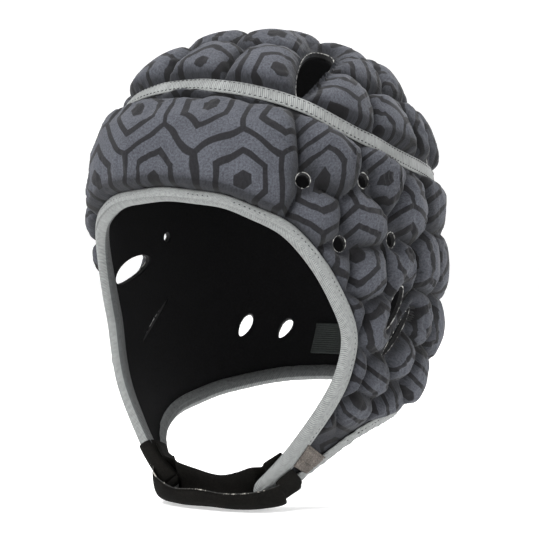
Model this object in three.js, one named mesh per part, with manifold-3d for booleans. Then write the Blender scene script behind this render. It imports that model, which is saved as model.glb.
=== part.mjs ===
// A rugby scrum cap: a padded crown and band over a thin lining, with a taped crown seam, bound face and
// nape edges, a cupped chin strap, its loop patch and a webbing tab at the nape.
// Millimetres, +Z up, the face opens towards -Y and the wearer's left is +X. The origin is the inside of
// the crown's top, where the cap sits on the head.
import * as THREE from "three";
import { mergeVertices } from "three/addons/utils/BufferGeometryUtils.js";
import Module from "manifold-3d";

const wasm = await Module();
wasm.setup();

// The head form that the lining follows. Heights are measured from the head's widest level.
const HEAD_HALF_WIDTH = 79;
const HEAD_FRONT = 94;
const HEAD_BACK = 96;
const CROWN_HEIGHT = 86;
const CHIN_DROP = 190;
const PLAN_ROUNDNESS = 2.45;
const DOME_ROUNDNESS = 2.15;
const HEART_DROP = 40;

// Walls and clearances. The sags are what facets lose between their corners. The pads start a facet's
// margin away from the tapes and a small margin away from the rims of the openings.
const LINING_WALL = 1.0;
const SEAM_WALL = 2.5;
const PAD_RISE = 7.0;
const PAD_SHOULDER = 9.0;
const TAPE_WALL = 1.0;
const GAP = 0.3;
const BINDING_GAP = 0.9;
const FACET_SAG = 1.0;
const TAPE_SAG = 0.35;
const FACET_MARGIN = 10.5;
const RIM_MARGIN = 2.5;

// Tapes, openings, strap and patches.
const CROWN_TAPE_WIDTH = 8.6;
const FACE_BINDING_WIDTH = 9.7;
const NAPE_BINDING_WIDTH = 6.5;
const VENT_BORE = 8.0;
const STRAP_WALL = 2.4;
const STRAP_WIDTH = 38;
const PATCH_WALL = 1.2;
const TAB_WALL = 1.2;

// How finely each piece is faceted.
const PANEL_COLUMNS = 60;
const PANEL_ROWS = 32;
const LINING_COLUMNS = 28;
const LINING_ROWS = 17;
const EDGE_STEPS = 66;
const FINE_EDGE_STEPS = 396;
const SEAM_STEPS = 40;
const STRAP_STEPS = 20;
const ROUND_SIDES = 8;
const LEAF_SIDES = 8;

// Level sections of the head below its widest level. drop is a share of CHIN_DROP, width of
// HEAD_HALF_WIDTH, front of HEAD_FRONT and back of HEAD_BACK.
const SECTIONS = [
  { drop: 0.00, width: 1.00, front: 1.00, back: 1.00 },
  { drop: 0.20, width: 1.01, front: 1.00, back: 0.98 },
  { drop: 0.38, width: 1.01, front: 0.98, back: 0.89 },
  { drop: 0.50, width: 0.95, front: 0.93, back: 0.77 },
  { drop: 0.62, width: 0.81, front: 0.85, back: 0.62 },
  { drop: 0.74, width: 0.63, front: 0.73, back: 0.45 },
  { drop: 0.86, width: 0.40, front: 0.52, back: 0.28 },
  { drop: 1.00, width: 0.00, front: 0.00, back: 0.00 },
];

// Places on the head: angle is in degrees from the middle of the forehead towards the wearer's left,
// and height is a share of CROWN_HEIGHT above the widest level and of CHIN_DROP below it.
// The face edge runs from the middle of the forehead to the tip of the left cheek tongue.
const FACE_EDGE = [
  { angle: 0, height: 0.045 },
  { angle: 12, height: 0.030 },
  { angle: 24, height: 0.000 },
  { angle: 33, height: -0.028 },
  { angle: 44, height: -0.076 },
  { angle: 53.5, height: -0.165 },
  { angle: 60.5, height: -0.263 },
  { angle: 65, height: -0.358 },
  { angle: 64, height: -0.455 },
  { angle: 59.5, height: -0.563 },
  { angle: 52.5, height: -0.672 },
  { angle: 44, height: -0.752 },
];
// The nape edge runs on from the tongue's tip to the middle of the nape.
const NAPE_EDGE = [
  { angle: 38.5, height: -0.795 },
  { angle: 46, height: -0.806 },
  { angle: 55, height: -0.776 },
  { angle: 65, height: -0.722 },
  { angle: 76, height: -0.668 },
  { angle: 91, height: -0.622 },
  { angle: 108, height: -0.598 },
  { angle: 128, height: -0.567 },
  { angle: 152, height: -0.535 },
  { angle: 180, height: -0.522 },
];
// The crown seam, from the middle of the forehead to the middle of the back of the head.
const CROWN_SEAM = [
  { angle: 0, height: 0.705 },
  { angle: 21, height: 0.685 },
  { angle: 36, height: 0.645 },
  { angle: 51, height: 0.575 },
  { angle: 66, height: 0.460 },
  { angle: 85, height: 0.345 },
  { angle: 104, height: 0.250 },
  { angle: 128, height: 0.160 },
  { angle: 154, height: 0.105 },
  { angle: 180, height: 0.090 },
];

// Pads of the band, left side; those off the middle are mirrored. Pads of one name are one pad.
const BAND_PADS = [
  { name: "forehead", angle: 0, height: 0.33 },
  { name: "forehead", angle: 20, height: 0.32 },
  { name: "forehead", angle: 36, height: 0.27 },
  { name: "forehead", angle: 37, height: 0.06 },
  { name: "temple top", angle: 60, height: 0.25 },
  { name: "temple front", angle: 53, height: -0.045 },
  { name: "temple button", angle: 83, height: 0.16 },
  { name: "temple rear", angle: 71, height: -0.048 },
  { name: "over ear", angle: 97, height: -0.030 },
  { name: "behind temple", angle: 117, height: 0.030 },
  { name: "cheek top", angle: 59, height: -0.175 },
  { name: "before ear", angle: 71.5, height: -0.190 },
  { name: "ear top", angle: 91, height: -0.180 },
  { name: "behind ear top", angle: 108, height: -0.170 },
  { name: "cheek middle", angle: 64, height: -0.320 },
  { name: "cheek ear", angle: 76, height: -0.345 },
  { name: "behind ear", angle: 103, height: -0.330 },
  { name: "under ear", angle: 92, height: -0.430 },
  { name: "cheek low", angle: 66, height: -0.455 },
  { name: "jaw top", angle: 79, height: -0.480 },
  { name: "jaw rear", angle: 109, height: -0.485 },
  { name: "jaw low", angle: 74, height: -0.570 },
  { name: "tongue", angle: 60, height: -0.620 },
  { name: "jaw edge", angle: 93, height: -0.560 },
  { name: "back top outer", angle: 139, height: -0.010 },
  { name: "back top inner", angle: 163, height: -0.030 },
  { name: "back upper outer", angle: 127, height: -0.185 },
  { name: "back upper inner", angle: 149, height: -0.200 },
  { name: "back upper middle", angle: 180, height: -0.190 },
  { name: "back lower outer", angle: 121, height: -0.360 },
  { name: "back lower inner", angle: 160, height: -0.365 },
  { name: "nape outer", angle: 138, height: -0.500 },
  { name: "nape middle", angle: 180, height: -0.470 },
];
// Pads of the crown, seen from above: side is a share of HEAD_HALF_WIDTH to the wearer's left, and
// along is a share of HEAD_FRONT ahead of the middle, or of HEAD_BACK behind it where it is negative.
const CROWN_PADS = [
  { name: "front middle", side: 0.00, along: 0.58 },
  { name: "front side", side: 0.40, along: 0.52 },
  { name: "upper front", side: 0.21, along: 0.20 },
  { name: "over temple", side: 0.82, along: 0.30 },
  { name: "top", side: 0.00, along: -0.13 },
  { name: "top side", side: 0.56, along: -0.08 },
  { name: "side", side: 0.92, along: -0.08 },
  { name: "upper back", side: 0.22, along: -0.46 },
  { name: "back side", side: 0.62, along: -0.42 },
  { name: "rear corner", side: 0.84, along: -0.42 },
  { name: "back middle", side: 0.00, along: -0.80 },
  { name: "back flank", side: 0.42, along: -0.76 },
  { name: "back corner", side: 0.66, along: -0.72 },
];

// Round vents of the band. both says whether the right side has the same vent.
const ROUND_VENTS = [
  { angle: 50, height: 0.125, both: true },
  { angle: 73, height: 0.125, both: true },
  { angle: 62.5, height: -0.111, both: false },
  { angle: 87, height: -0.104, both: false },
  { angle: -97, height: -0.100, both: false },
];
// Leaf-shaped openings from one end to the other. width is the full width in millimetres, and skew
// moves the widest place towards the first end. Each end is a place on the head.
const CROWN_LEAVES = [
  { from: { angle: 50, height: 0.600 }, to: { angle: 102, height: 0.925 },
    width: 15, skew: -0.25, both: true },
  { from: { angle: 119, height: 0.220 }, to: { angle: 124, height: 0.640 },
    width: 9, skew: 0.1, both: true },
];
const BAND_LEAVES = [
  { from: { angle: 94, height: -0.232 }, to: { angle: 81.5, height: -0.350 },
    width: 6.4, skew: 0.15 },
  { from: { angle: -88, height: -0.165 }, to: { angle: -64, height: -0.225 },
    width: 12.5, skew: 0 },
  { from: { angle: 98.5, height: -0.290 }, to: { angle: 82, height: -0.418 },
    width: 3.4, skew: 0, both: true },
  { from: { angle: 134, height: -0.345 }, to: { angle: 137, height: -0.415 },
    width: 6.5, skew: 0.2, both: true },
  { from: { angle: 150, height: -0.360 }, to: { angle: 153, height: -0.420 },
    width: 6.5, skew: 0.2, both: true },
];
// The padding runs out on the cheek tongue between two heights.
const TONGUE_PADDED_TO = -0.60;
const TONGUE_FLAT_FROM = -0.66;

// The chin strap from the tongue to the middle of the chin. Its first rows hold the tongue, whose nape
// edge they follow at the given angle. outer and inner are the heights of the two lips, as shares of
// STRAP_WIDTH, and the fold lies a share of the trough's spread past the edge.
const FOLD_DEPTH = 0.58;
const STRAP_ON_TONGUE = [
  { angle: 59, outer: 0.36, inner: 0.62 },
  { angle: 51, outer: 0.33, inner: 0.62 },
];
// Under the chin, side is a share of HEAD_HALF_WIDTH, ahead of HEAD_FRONT and drop of CHIN_DROP. spread
// is half the trough's width, as a share of STRAP_WIDTH. lean tips the lips to the front and turn swings
// the outer face to the wearer's left, in degrees.
const STRAP_UNDER_CHIN = [
  { side: 0.445, ahead: 0.410, drop: 0.841, outer: 0.27, inner: 0.58, spread: 0.22, lean: 38, turn: 55 },
  { side: 0.375, ahead: 0.535, drop: 0.851, outer: 0.25, inner: 0.54, spread: 0.23, lean: 24, turn: 36 },
  { side: 0.200, ahead: 0.595, drop: 0.857, outer: 0.27, inner: 0.46, spread: 0.27, lean: 9, turn: 15 },
  { side: 0.000, ahead: 0.612, drop: 0.858, outer: 0.27, inner: 0.42, spread: 0.30, lean: 0, turn: 0 },
];

// The trough's section: how far out its flanks lie and how high its flanks and bends are, as shares of
// its spread.
const TROUGH = { outerFlank: 0.60, innerFlank: 0.55, flankHeight: 0.16, bendHeight: 0.80 };

// The loop patch on the left tongue, corner by corner, and the tab inside the nape.
const PATCH = {
  topFront: { angle: 56.5, height: -0.652 },
  topRear: { angle: 67, height: -0.694 },
  lowFront: { angle: 52.4, height: -0.712 },
  lowRear: { angle: 60, height: -0.738 },
};
const TAB = { halfAngle: 15, top: -0.375, bottom: -0.466 };

// Levels through the wall, measured outwards from the head form.
const PANEL_INSIDE = LINING_WALL + GAP;
const PANEL_SEAM_FACE = PANEL_INSIDE + SEAM_WALL;
const TAPE_INSIDE = PANEL_SEAM_FACE + GAP + TAPE_SAG;
const TAPE_OUTSIDE = TAPE_INSIDE + TAPE_WALL;
const INNER_LEG_TOP = -(GAP + FACET_SAG);
const INNER_LEG_UNDER = INNER_LEG_TOP - TAPE_WALL;

const HEART = new THREE.Vector3(0, 0, -HEART_DROP);

// The share of a named size at a drop below the widest level, on a smooth curve through the sections.
function sectionShare(drop, column) {
  const last = SECTIONS.length - 1;
  let i = 0;
  while (i < last - 1 && drop > SECTIONS[i + 1].drop) i += 1;
  const slope = (k) => {
    if (k === 0) return 0;
    const before = SECTIONS[k - 1];
    const after = SECTIONS[Math.min(k + 1, last)];
    return (after[column] - before[column]) / (after.drop - before.drop);
  };
  const from = SECTIONS[i];
  const to = SECTIONS[i + 1];
  const span = to.drop - from.drop;
  const t = (drop - from.drop) / span;
  const startWeight = 2 * t ** 3 - 3 * t ** 2 + 1;
  const startSlopeWeight = t ** 3 - 2 * t ** 2 + t;
  const endSlopeWeight = t ** 3 - t ** 2;
  return startWeight * from[column] + (1 - startWeight) * to[column]
    + span * (startSlopeWeight * slope(i) + endSlopeWeight * slope(i + 1));
}

// The half width and the lengths of the level section at a height from the widest level.
function sectionAt(z) {
  if (z >= 0) {
    const dome = (1 - (Math.min(z / CROWN_HEIGHT, 1)) ** DOME_ROUNDNESS) ** (1 / DOME_ROUNDNESS);
    return { width: HEAD_HALF_WIDTH * dome, front: HEAD_FRONT * dome, back: HEAD_BACK * dome };
  }
  const drop = Math.min(-z / CHIN_DROP, 1);
  return {
    width: HEAD_HALF_WIDTH * sectionShare(drop, "width"),
    front: HEAD_FRONT * sectionShare(drop, "front"),
    back: HEAD_BACK * sectionShare(drop, "back"),
  };
}

// How far out a point of a level section lies: one on the superellipse of that width and length.
function planLevel(x, y, width, length) {
  return (Math.abs(x / width) ** PLAN_ROUNDNESS + Math.abs(y / length) ** PLAN_ROUNDNESS)
    ** (1 / PLAN_ROUNDNESS);
}

// Negative inside the head form, zero on it and positive outside.
function formLevel(p) {
  if (p.z >= 0) {
    const plan = planLevel(p.x, p.y, HEAD_HALF_WIDTH, p.y < 0 ? HEAD_FRONT : HEAD_BACK);
    return (plan ** DOME_ROUNDNESS + (p.z / CROWN_HEIGHT) ** DOME_ROUNDNESS) ** (1 / DOME_ROUNDNESS) - 1;
  }
  if (-p.z >= CHIN_DROP) return -p.z / CHIN_DROP;
  const section = sectionAt(p.z);
  return planLevel(p.x, p.y, section.width, p.y < 0 ? section.front : section.back) - 1;
}

// The point of the head form on the ray from its heart through a given point.
function onForm(point) {
  const way = point.clone().sub(HEART).normalize();
  const halvings = 36;
  let near = 0;
  let far = CROWN_HEIGHT + CHIN_DROP;
  for (let i = 0; i < halvings; i += 1) {
    const middle = (near + far) / 2;
    if (formLevel(HEART.clone().addScaledVector(way, middle)) < 0) near = middle;
    else far = middle;
  }
  return HEART.clone().addScaledVector(way, (near + far) / 2);
}

// The outward normal of the head form at a point on it.
function formNormal(p) {
  const step = 0.02;
  const rise = (axis) => {
    const ahead = p.clone();
    const behind = p.clone();
    ahead[axis] += step;
    behind[axis] -= step;
    return formLevel(ahead) - formLevel(behind);
  };
  return new THREE.Vector3(rise("x"), rise("y"), rise("z")).normalize();
}

// A place given by angle and height, as a point of the head form.
function placeOnForm(angle, height) {
  const z = height >= 0 ? height * CROWN_HEIGHT : height * CHIN_DROP;
  const section = sectionAt(z);
  const sine = Math.sin(THREE.MathUtils.degToRad(angle));
  const cosine = Math.cos(THREE.MathUtils.degToRad(angle));
  const out = 1 / planLevel(sine, cosine, 1, 1);
  const length = cosine > 0 ? section.front : section.back;
  return new THREE.Vector3(section.width * sine * out, -length * cosine * out, z);
}

// A closed line on the form through rows from the forehead to the back, mirrored for the right side.
// It is cut into equal steps.
function lineOnForm(rows, steps) {
  const left = rows.map((row) => placeOnForm(row.angle, row.height));
  const right = left.slice(1, -1).reverse().map((p) => new THREE.Vector3(-p.x, p.y, p.z));
  const curve = new THREE.CatmullRomCurve3([...left, ...right], true, "centripetal");
  return Array.from({ length: steps }, (_, i) => onForm(curve.getPointAt(i / steps)));
}

// Frames along a closed line: the normal of the form, the way into the cap and the ray from the heart.
function framesAlong(line) {
  return line.map((point, i) => {
    const before = line[(i + line.length - 1) % line.length];
    const after = line[(i + 1) % line.length];
    const along = after.clone().sub(before).normalize();
    const normal = formNormal(point);
    const inward = new THREE.Vector3().crossVectors(normal, along).normalize();
    const ray = point.clone().sub(HEART).normalize();
    return { point, along, normal, inward, ray };
  });
}

// A point beside a line: so far into the cap from the line, and so far out from the head form.
// Past the line it stays in the plane that the cut edge lies in.
function beside(frame, into, out) {
  if (into <= 0) {
    return frame.point.clone()
      .addScaledVector(frame.inward, into)
      .addScaledVector(frame.ray, out / frame.ray.dot(frame.normal));
  }
  const foot = onForm(frame.point.clone().addScaledVector(frame.inward, into));
  return foot.addScaledVector(formNormal(foot), out);
}

// A solid from points and triangles, turned so that its faces point out.
function solidOf(points, triangles) {
  let volume = 0;
  for (const [a, b, c] of triangles) {
    volume += points[a].dot(new THREE.Vector3().crossVectors(points[b], points[c]));
  }
  const turned = volume < 0 ? triangles.map(([a, b, c]) => [a, c, b]) : triangles;
  const geometry = new THREE.BufferGeometry().setFromPoints(points);
  geometry.setIndex(turned.flat());
  const merged = mergeVertices(geometry, 1e-4);
  return new wasm.Manifold(new wasm.Mesh({
    numProp: 3,
    vertProperties: new Float32Array(merged.attributes.position.array),
    triVerts: new Uint32Array(merged.index.array),
  }));
}

// A closed bag round the form: rings of directions from its heart, each point set out from the form.
function formSolid(columns, rows, offsetAt) {
  const points = [];
  const triangles = [];
  const pointAt = (polar, turn) => {
    const way = new THREE.Vector3(Math.sin(polar) * Math.sin(turn), -Math.sin(polar) * Math.cos(turn),
      Math.cos(polar));
    const foot = onForm(HEART.clone().add(way));
    return foot.addScaledVector(formNormal(foot), offsetAt(foot));
  };
  points.push(pointAt(0, 0));
  for (let row = 1; row < rows; row += 1) {
    for (let column = 0; column < columns; column += 1) {
      points.push(pointAt((Math.PI * row) / rows, (2 * Math.PI * column) / columns));
    }
  }
  points.push(pointAt(Math.PI, 0));
  const at = (row, column) => 1 + (row - 1) * columns + (column % columns);
  for (let column = 0; column < columns; column += 1) {
    triangles.push([0, at(1, column + 1), at(1, column)]);
    triangles.push([points.length - 1, at(rows - 1, column), at(rows - 1, column + 1)]);
    for (let row = 1; row < rows - 1; row += 1) {
      triangles.push([at(row, column), at(row, column + 1), at(row + 1, column + 1)]);
      triangles.push([at(row, column), at(row + 1, column + 1), at(row + 1, column)]);
    }
  }
  return solidOf(points, triangles);
}

// The cone from the heart through a closed line, closed by a fan round a pole. It reaches so many times
// as far as the line, well past the cap.
function coneThrough(line, pole) {
  const reach = 3;
  const far = line.map((p) => p.clone().sub(HEART).multiplyScalar(reach).add(HEART));
  const points = [HEART.clone(), pole.clone().sub(HEART).setLength(reach * HEAD_BACK).add(HEART), ...far];
  const triangles = [];
  for (let i = 0; i < far.length; i += 1) {
    const next = (i + 1) % far.length;
    triangles.push([0, 2 + i, 2 + next], [1, 2 + next, 2 + i]);
  }
  return solidOf(points, triangles);
}

// A closed ring swept through sections of equally many points.
function ringOf(sections) {
  const size = sections[0].length;
  const triangles = [];
  for (let i = 0; i < sections.length; i += 1) {
    const next = (i + 1) % sections.length;
    for (let k = 0; k < size; k += 1) {
      const step = (k + 1) % size;
      triangles.push([i * size + k, next * size + k, next * size + step]);
      triangles.push([i * size + k, next * size + step, i * size + step]);
    }
  }
  return solidOf(sections.flat(), triangles);
}

// A strip swept through sections of equally many points, with flat ends. A section runs out along one
// face and back along the other, so its ends close as a row of quads across the wall.
function stripOf(sections) {
  const size = sections[0].length;
  const triangles = [];
  for (let i = 0; i < sections.length - 1; i += 1) {
    for (let k = 0; k < size; k += 1) {
      const step = (k + 1) % size;
      triangles.push([i * size + k, (i + 1) * size + k, (i + 1) * size + step]);
      triangles.push([i * size + k, (i + 1) * size + step, i * size + step]);
    }
  }
  const last = (sections.length - 1) * size;
  for (let k = 0; k < size / 2 - 1; k += 1) {
    const [a, b, c, d] = [k, k + 1, size - 2 - k, size - 1 - k];
    triangles.push([a, b, c], [a, c, d]);
    triangles.push([last + a, last + c, last + b], [last + a, last + d, last + c]);
  }
  return solidOf(sections.flat(), triangles);
}

// Lines of the pattern: the bound edge, the crown seam and the rims of the openings.
const edgeRows = [...FACE_EDGE, ...NAPE_EDGE];
const edgeFrames = framesAlong(lineOnForm(edgeRows, EDGE_STEPS));
const seamFrames = framesAlong(lineOnForm(CROWN_SEAM, SEAM_STEPS));

// The rim of an opening: an ellipse laid on the form, with its widest place moved along by the skew.
function rimOf(centre, axis, halfLength, halfWidth, skew, sides) {
  const normal = formNormal(centre);
  const along = axis.clone().addScaledVector(normal, -axis.dot(normal)).normalize();
  const across = new THREE.Vector3().crossVectors(normal, along);
  return Array.from({ length: sides }, (_, i) => {
    const turn = (2 * Math.PI * i) / sides;
    const bulge = 1 + skew * Math.cos(turn);
    return onForm(centre.clone()
      .addScaledVector(along, -Math.cos(turn) * halfLength)
      .addScaledVector(across, Math.sin(turn) * halfWidth * bulge));
  });
}

function roundRim(vent, side) {
  const centre = placeOnForm(vent.angle * side, vent.height);
  return rimOf(centre, new THREE.Vector3(0, 0, 1), VENT_BORE / 2, VENT_BORE / 2, 0, ROUND_SIDES);
}

function leafRim(leaf, side) {
  const from = placeOnForm(leaf.from.angle * side, leaf.from.height);
  const to = placeOnForm(leaf.to.angle * side, leaf.to.height);
  const centre = onForm(from.clone().lerp(to, 0.5));
  const axis = to.clone().sub(from);
  return rimOf(centre, axis, axis.length() / 2, leaf.width / 2, leaf.skew, LEAF_SIDES);
}

function rimsOf(rows, makeRim) {
  return rows.flatMap((row) => (row.both ? [makeRim(row, 1), makeRim(row, -1)] : [makeRim(row, 1)]));
}

const crownRims = rimsOf(CROWN_LEAVES, leafRim);
const bandRims = [...rimsOf(ROUND_VENTS, roundRim), ...rimsOf(BAND_LEAVES, leafRim)];
const middleOf = (line) => line.reduce((sum, p) => sum.add(p), new THREE.Vector3()).divideScalar(line.length);

// The pads' middles on the form, with the mirrored ones.
function padSeeds(rows, place) {
  return rows.flatMap((row) => {
    const seed = place(row);
    if (Math.abs(seed.x) < 1) return [{ name: row.name, seed }];
    const twin = new THREE.Vector3(-seed.x, seed.y, seed.z);
    const twinName = row.name === "forehead" ? row.name : `${row.name} right`;
    return [{ name: row.name, seed }, { name: twinName, seed: twin }];
  });
}

function crownPadPlace(row) {
  const depth = row.along > 0 ? HEAD_FRONT : HEAD_BACK;
  const plan = planLevel(row.side, row.along, 1, 1);
  const height = CROWN_HEIGHT * (1 - Math.min(plan, 0.99) ** DOME_ROUNDNESS) ** (1 / DOME_ROUNDNESS);
  return onForm(new THREE.Vector3(row.side * HEAD_HALF_WIDTH, -row.along * depth, height));
}

const bandSeeds = padSeeds(BAND_PADS, (row) => placeOnForm(row.angle, row.height));
const crownSeeds = padSeeds(CROWN_PADS, crownPadPlace);

// How far a point is from the channel between its pad and the next one.
function channelDistance(point, seeds) {
  let own = null;
  let ownDistance = Infinity;
  for (const pad of seeds) {
    const distance = pad.seed.distanceTo(point);
    if (distance < ownDistance) {
      own = pad;
      ownDistance = distance;
    }
  }
  let nearest = Infinity;
  for (const pad of seeds) {
    if (pad.name === own.name) continue;
    const span = pad.seed.distanceTo(own.seed);
    nearest = Math.min(nearest, (pad.seed.distanceTo(point) ** 2 - ownDistance ** 2) / (2 * span));
  }
  return nearest;
}

// Where the tongue's tip lies along the edge.
const tipIndex = edgeFrames.reduce((best, frame, i) => {
  const tip = placeOnForm(NAPE_EDGE[0].angle, NAPE_EDGE[0].height);
  return frame.point.distanceTo(tip) < edgeFrames[best].point.distanceTo(tip) ? i : best;
}, 0);
// The face binding covers the forehead, the cheeks and the tips of the tongues; the nape binding the rest.
const faceReach = tipIndex + 1;
const isFace = (i) => i <= faceReach || i >= EDGE_STEPS - faceReach;
const bindingWidthAt = (i) => (isFace(i) ? FACE_BINDING_WIDTH : NAPE_BINDING_WIDTH);

const stretch = new THREE.Line3();
const nearestOnStretch = new THREE.Vector3();

// How far a point is from one stretch of a closed line, and from the whole line.
function distanceToStretch(point, line, i) {
  stretch.set(line[i], line[(i + 1) % line.length]);
  return stretch.closestPointToPoint(point, true, nearestOnStretch).distanceTo(point);
}
const distanceToLine = (point, line) => Math.min(...line.map((_, i) => distanceToStretch(point, line, i)));
const edgeLine = edgeFrames.map((frame) => frame.point);
const seamLine = seamFrames.map((frame) => frame.point);

// How far a point is from the leg of the binding on the nearest edge.
function distanceToEdge(point) {
  let nearest = Infinity;
  edgeLine.forEach((_, i) => {
    nearest = Math.min(nearest, distanceToStretch(point, edgeLine, i) - bindingWidthAt(i));
  });
  return nearest;
}

// The outer face of a padded panel: flat along seams, edges and openings, and round over each pad.
function panelFace(seeds, rims) {
  return (point) => {
    const clear = [
      channelDistance(point, seeds),
      distanceToLine(point, seamLine) - CROWN_TAPE_WIDTH / 2 - FACET_MARGIN,
      distanceToEdge(point) - FACET_MARGIN,
      ...rims.map((rim) => distanceToLine(point, rim) - RIM_MARGIN),
    ];
    const share = THREE.MathUtils.clamp(Math.min(...clear) / PAD_SHOULDER, 0, 1);
    const height = point.z / CHIN_DROP;
    const fade = THREE.MathUtils.smoothstep(height, TONGUE_FLAT_FROM, TONGUE_PADDED_TO);
    return PANEL_SEAM_FACE + PAD_RISE * fade * Math.sqrt(1 - (1 - share) ** 2);
  };
}

// The cutters: the face and neck opening, the crown's side of the seam and each opening.
const tip = edgeFrames[tipIndex].point;
const openingCutter = coneThrough(edgeLine, new THREE.Vector3(0, tip.y, tip.z));
const crownTop = new THREE.Vector3(0, 0, CROWN_HEIGHT);
const seamLineShifted = (into) => seamFrames.map((frame) => onForm(frame.point.clone()
  .addScaledVector(frame.inward, into)));
const crownSide = coneThrough(seamLineShifted(GAP / 2), crownTop);
const crownSideAndSeam = coneThrough(seamLineShifted(-GAP / 2), crownTop);

function pierced(solid, rims) {
  return rims.reduce((rest, rim) => rest.subtract(coneThrough(rim, middleOf(rim))), solid);
}

// Tapes. The crown tape lies flat over the crown seam, and a binding wraps an edge.
function tapeSection(frame, halfWidth, inside, outside) {
  return [
    beside(frame, -halfWidth, inside), beside(frame, 0, inside), beside(frame, halfWidth, inside),
    beside(frame, halfWidth, outside), beside(frame, 0, outside), beside(frame, -halfWidth, outside),
  ];
}

// How far a binding may reach into the cap before it meets the middle line of a narrow tongue: there a
// point comes nearer to the far edge than the share of its own distance that a curved edge allows.
function bindingReach(frame, width) {
  const step = 0.5;
  const nearness = 0.96;
  const slack = 0.1;
  let reach = step;
  while (reach + step <= width) {
    const ahead = reach + step + GAP;
    const point = onForm(frame.point.clone().addScaledVector(frame.inward, ahead));
    if (distanceToLine(point, edgeLine) < ahead * nearness - slack) break;
    reach += step;
  }
  return reach;
}

function bindingSection(frame, width) {
  const reach = bindingReach(frame, width);
  const fold = -(GAP + TAPE_WALL);
  const middle = (TAPE_INSIDE + INNER_LEG_TOP) / 2;
  return [
    beside(frame, reach, TAPE_OUTSIDE),
    beside(frame, -GAP, TAPE_OUTSIDE),
    beside(frame, fold, middle),
    beside(frame, -GAP, INNER_LEG_UNDER),
    beside(frame, reach, INNER_LEG_UNDER),
    beside(frame, reach, INNER_LEG_TOP),
    beside(frame, -GAP, INNER_LEG_TOP),
    beside(frame, -GAP, middle),
    beside(frame, -GAP, TAPE_INSIDE),
    beside(frame, reach, TAPE_INSIDE),
  ];
}

const frameNumber = (i) => edgeFrames[(i + EDGE_STEPS) % EDGE_STEPS];

function movedAlong(frame, distance) {
  return { ...frame, point: onForm(frame.point.clone().addScaledVector(frame.along, distance)) };
}

function makeFaceBinding() {
  const sections = [];
  for (let i = -faceReach; i <= faceReach; i += 1) {
    sections.push(bindingSection(frameNumber(i), FACE_BINDING_WIDTH));
  }
  return stripOf(sections);
}

function makeNapeBinding() {
  const first = movedAlong(frameNumber(faceReach), BINDING_GAP);
  const last = movedAlong(frameNumber(-faceReach), -BINDING_GAP);
  const between = [];
  for (let i = faceReach + 1; i < EDGE_STEPS - faceReach; i += 1) between.push(frameNumber(i));
  return stripOf([first, ...between, last].map((frame) => bindingSection(frame, NAPE_BINDING_WIDTH)));
}

function makeCrownTape() {
  const half = CROWN_TAPE_WIDTH / 2;
  return ringOf(seamFrames.map((frame) => tapeSection(frame, half, TAPE_INSIDE, TAPE_OUTSIDE)));
}

// The panels and the lining are cut from bags round the head form.
function makePanels() {
  const seeds = [...bandSeeds, ...crownSeeds];
  const outside = formSolid(PANEL_COLUMNS, PANEL_ROWS, panelFace(seeds, [...bandRims, ...crownRims]));
  const inside = formSolid(LINING_COLUMNS, LINING_ROWS, () => PANEL_INSIDE);
  const wall = outside.subtract(inside);
  return {
    crown: pierced(wall.intersect(crownSide), crownRims),
    band: pierced(wall.subtract(crownSideAndSeam).subtract(openingCutter), bandRims),
  };
}

function makeLining() {
  const wall = formSolid(LINING_COLUMNS, LINING_ROWS, () => LINING_WALL)
    .subtract(formSolid(LINING_COLUMNS, LINING_ROWS, () => 0));
  return pierced(wall.subtract(openingCutter), [...bandRims, ...crownRims]);
}

// The chin strap is a trough: two lips round a soft fold. at gives a point so far across the trough,
// outwards, and so far up from the fold.
function troughSection(at, spread, outer, inner) {
  const within = spread - STRAP_WALL;
  const low = TROUGH.flankHeight * spread;
  const bend = TROUGH.bendHeight * spread;
  const flank = TROUGH.outerFlank * spread;
  const innerFlank = TROUGH.innerFlank * within;
  return [
    at(spread, outer), at(spread, bend), at(flank, low), at(0, 0),
    at(-flank, low), at(-spread, bend), at(-spread, inner),
    at(-within, inner), at(-within, bend + STRAP_WALL / 2), at(-innerFlank, low + STRAP_WALL),
    at(0, STRAP_WALL), at(innerFlank, low + STRAP_WALL), at(within, bend + STRAP_WALL / 2),
    at(within, outer),
  ];
}

// The edge's frame that lies nearest to an angle on the left half of the nape edge.
const fineEdge = framesAlong(lineOnForm(edgeRows, FINE_EDGE_STEPS));
function napeFrameAt(angle) {
  const row = NAPE_EDGE.findIndex((place) => place.angle > angle);
  const [from, to] = [NAPE_EDGE[row - 1], NAPE_EDGE[row]];
  const share = (angle - from.angle) / (to.angle - from.angle);
  const place = placeOnForm(angle, from.height + share * (to.height - from.height));
  return fineEdge.reduce((best, frame) => (
    frame.point.distanceTo(place) < best.point.distanceTo(place) ? frame : best));
}

// The strap's first sections hold the tongue between their lips, which follow its two faces.
function troughOnTongue(row) {
  const middle = (TAPE_OUTSIDE + INNER_LEG_UNDER) / 2;
  const spread = (TAPE_OUTSIDE - INNER_LEG_UNDER) / 2 + GAP + FACET_SAG + STRAP_WALL;
  const foldOut = -(STRAP_WALL + FOLD_DEPTH * spread);
  const frame = napeFrameAt(row.angle);
  const at = (across, up) => beside(frame, foldOut + up, middle + across);
  return troughSection(at, spread, row.outer * STRAP_WIDTH, row.inner * STRAP_WIDTH);
}

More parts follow.
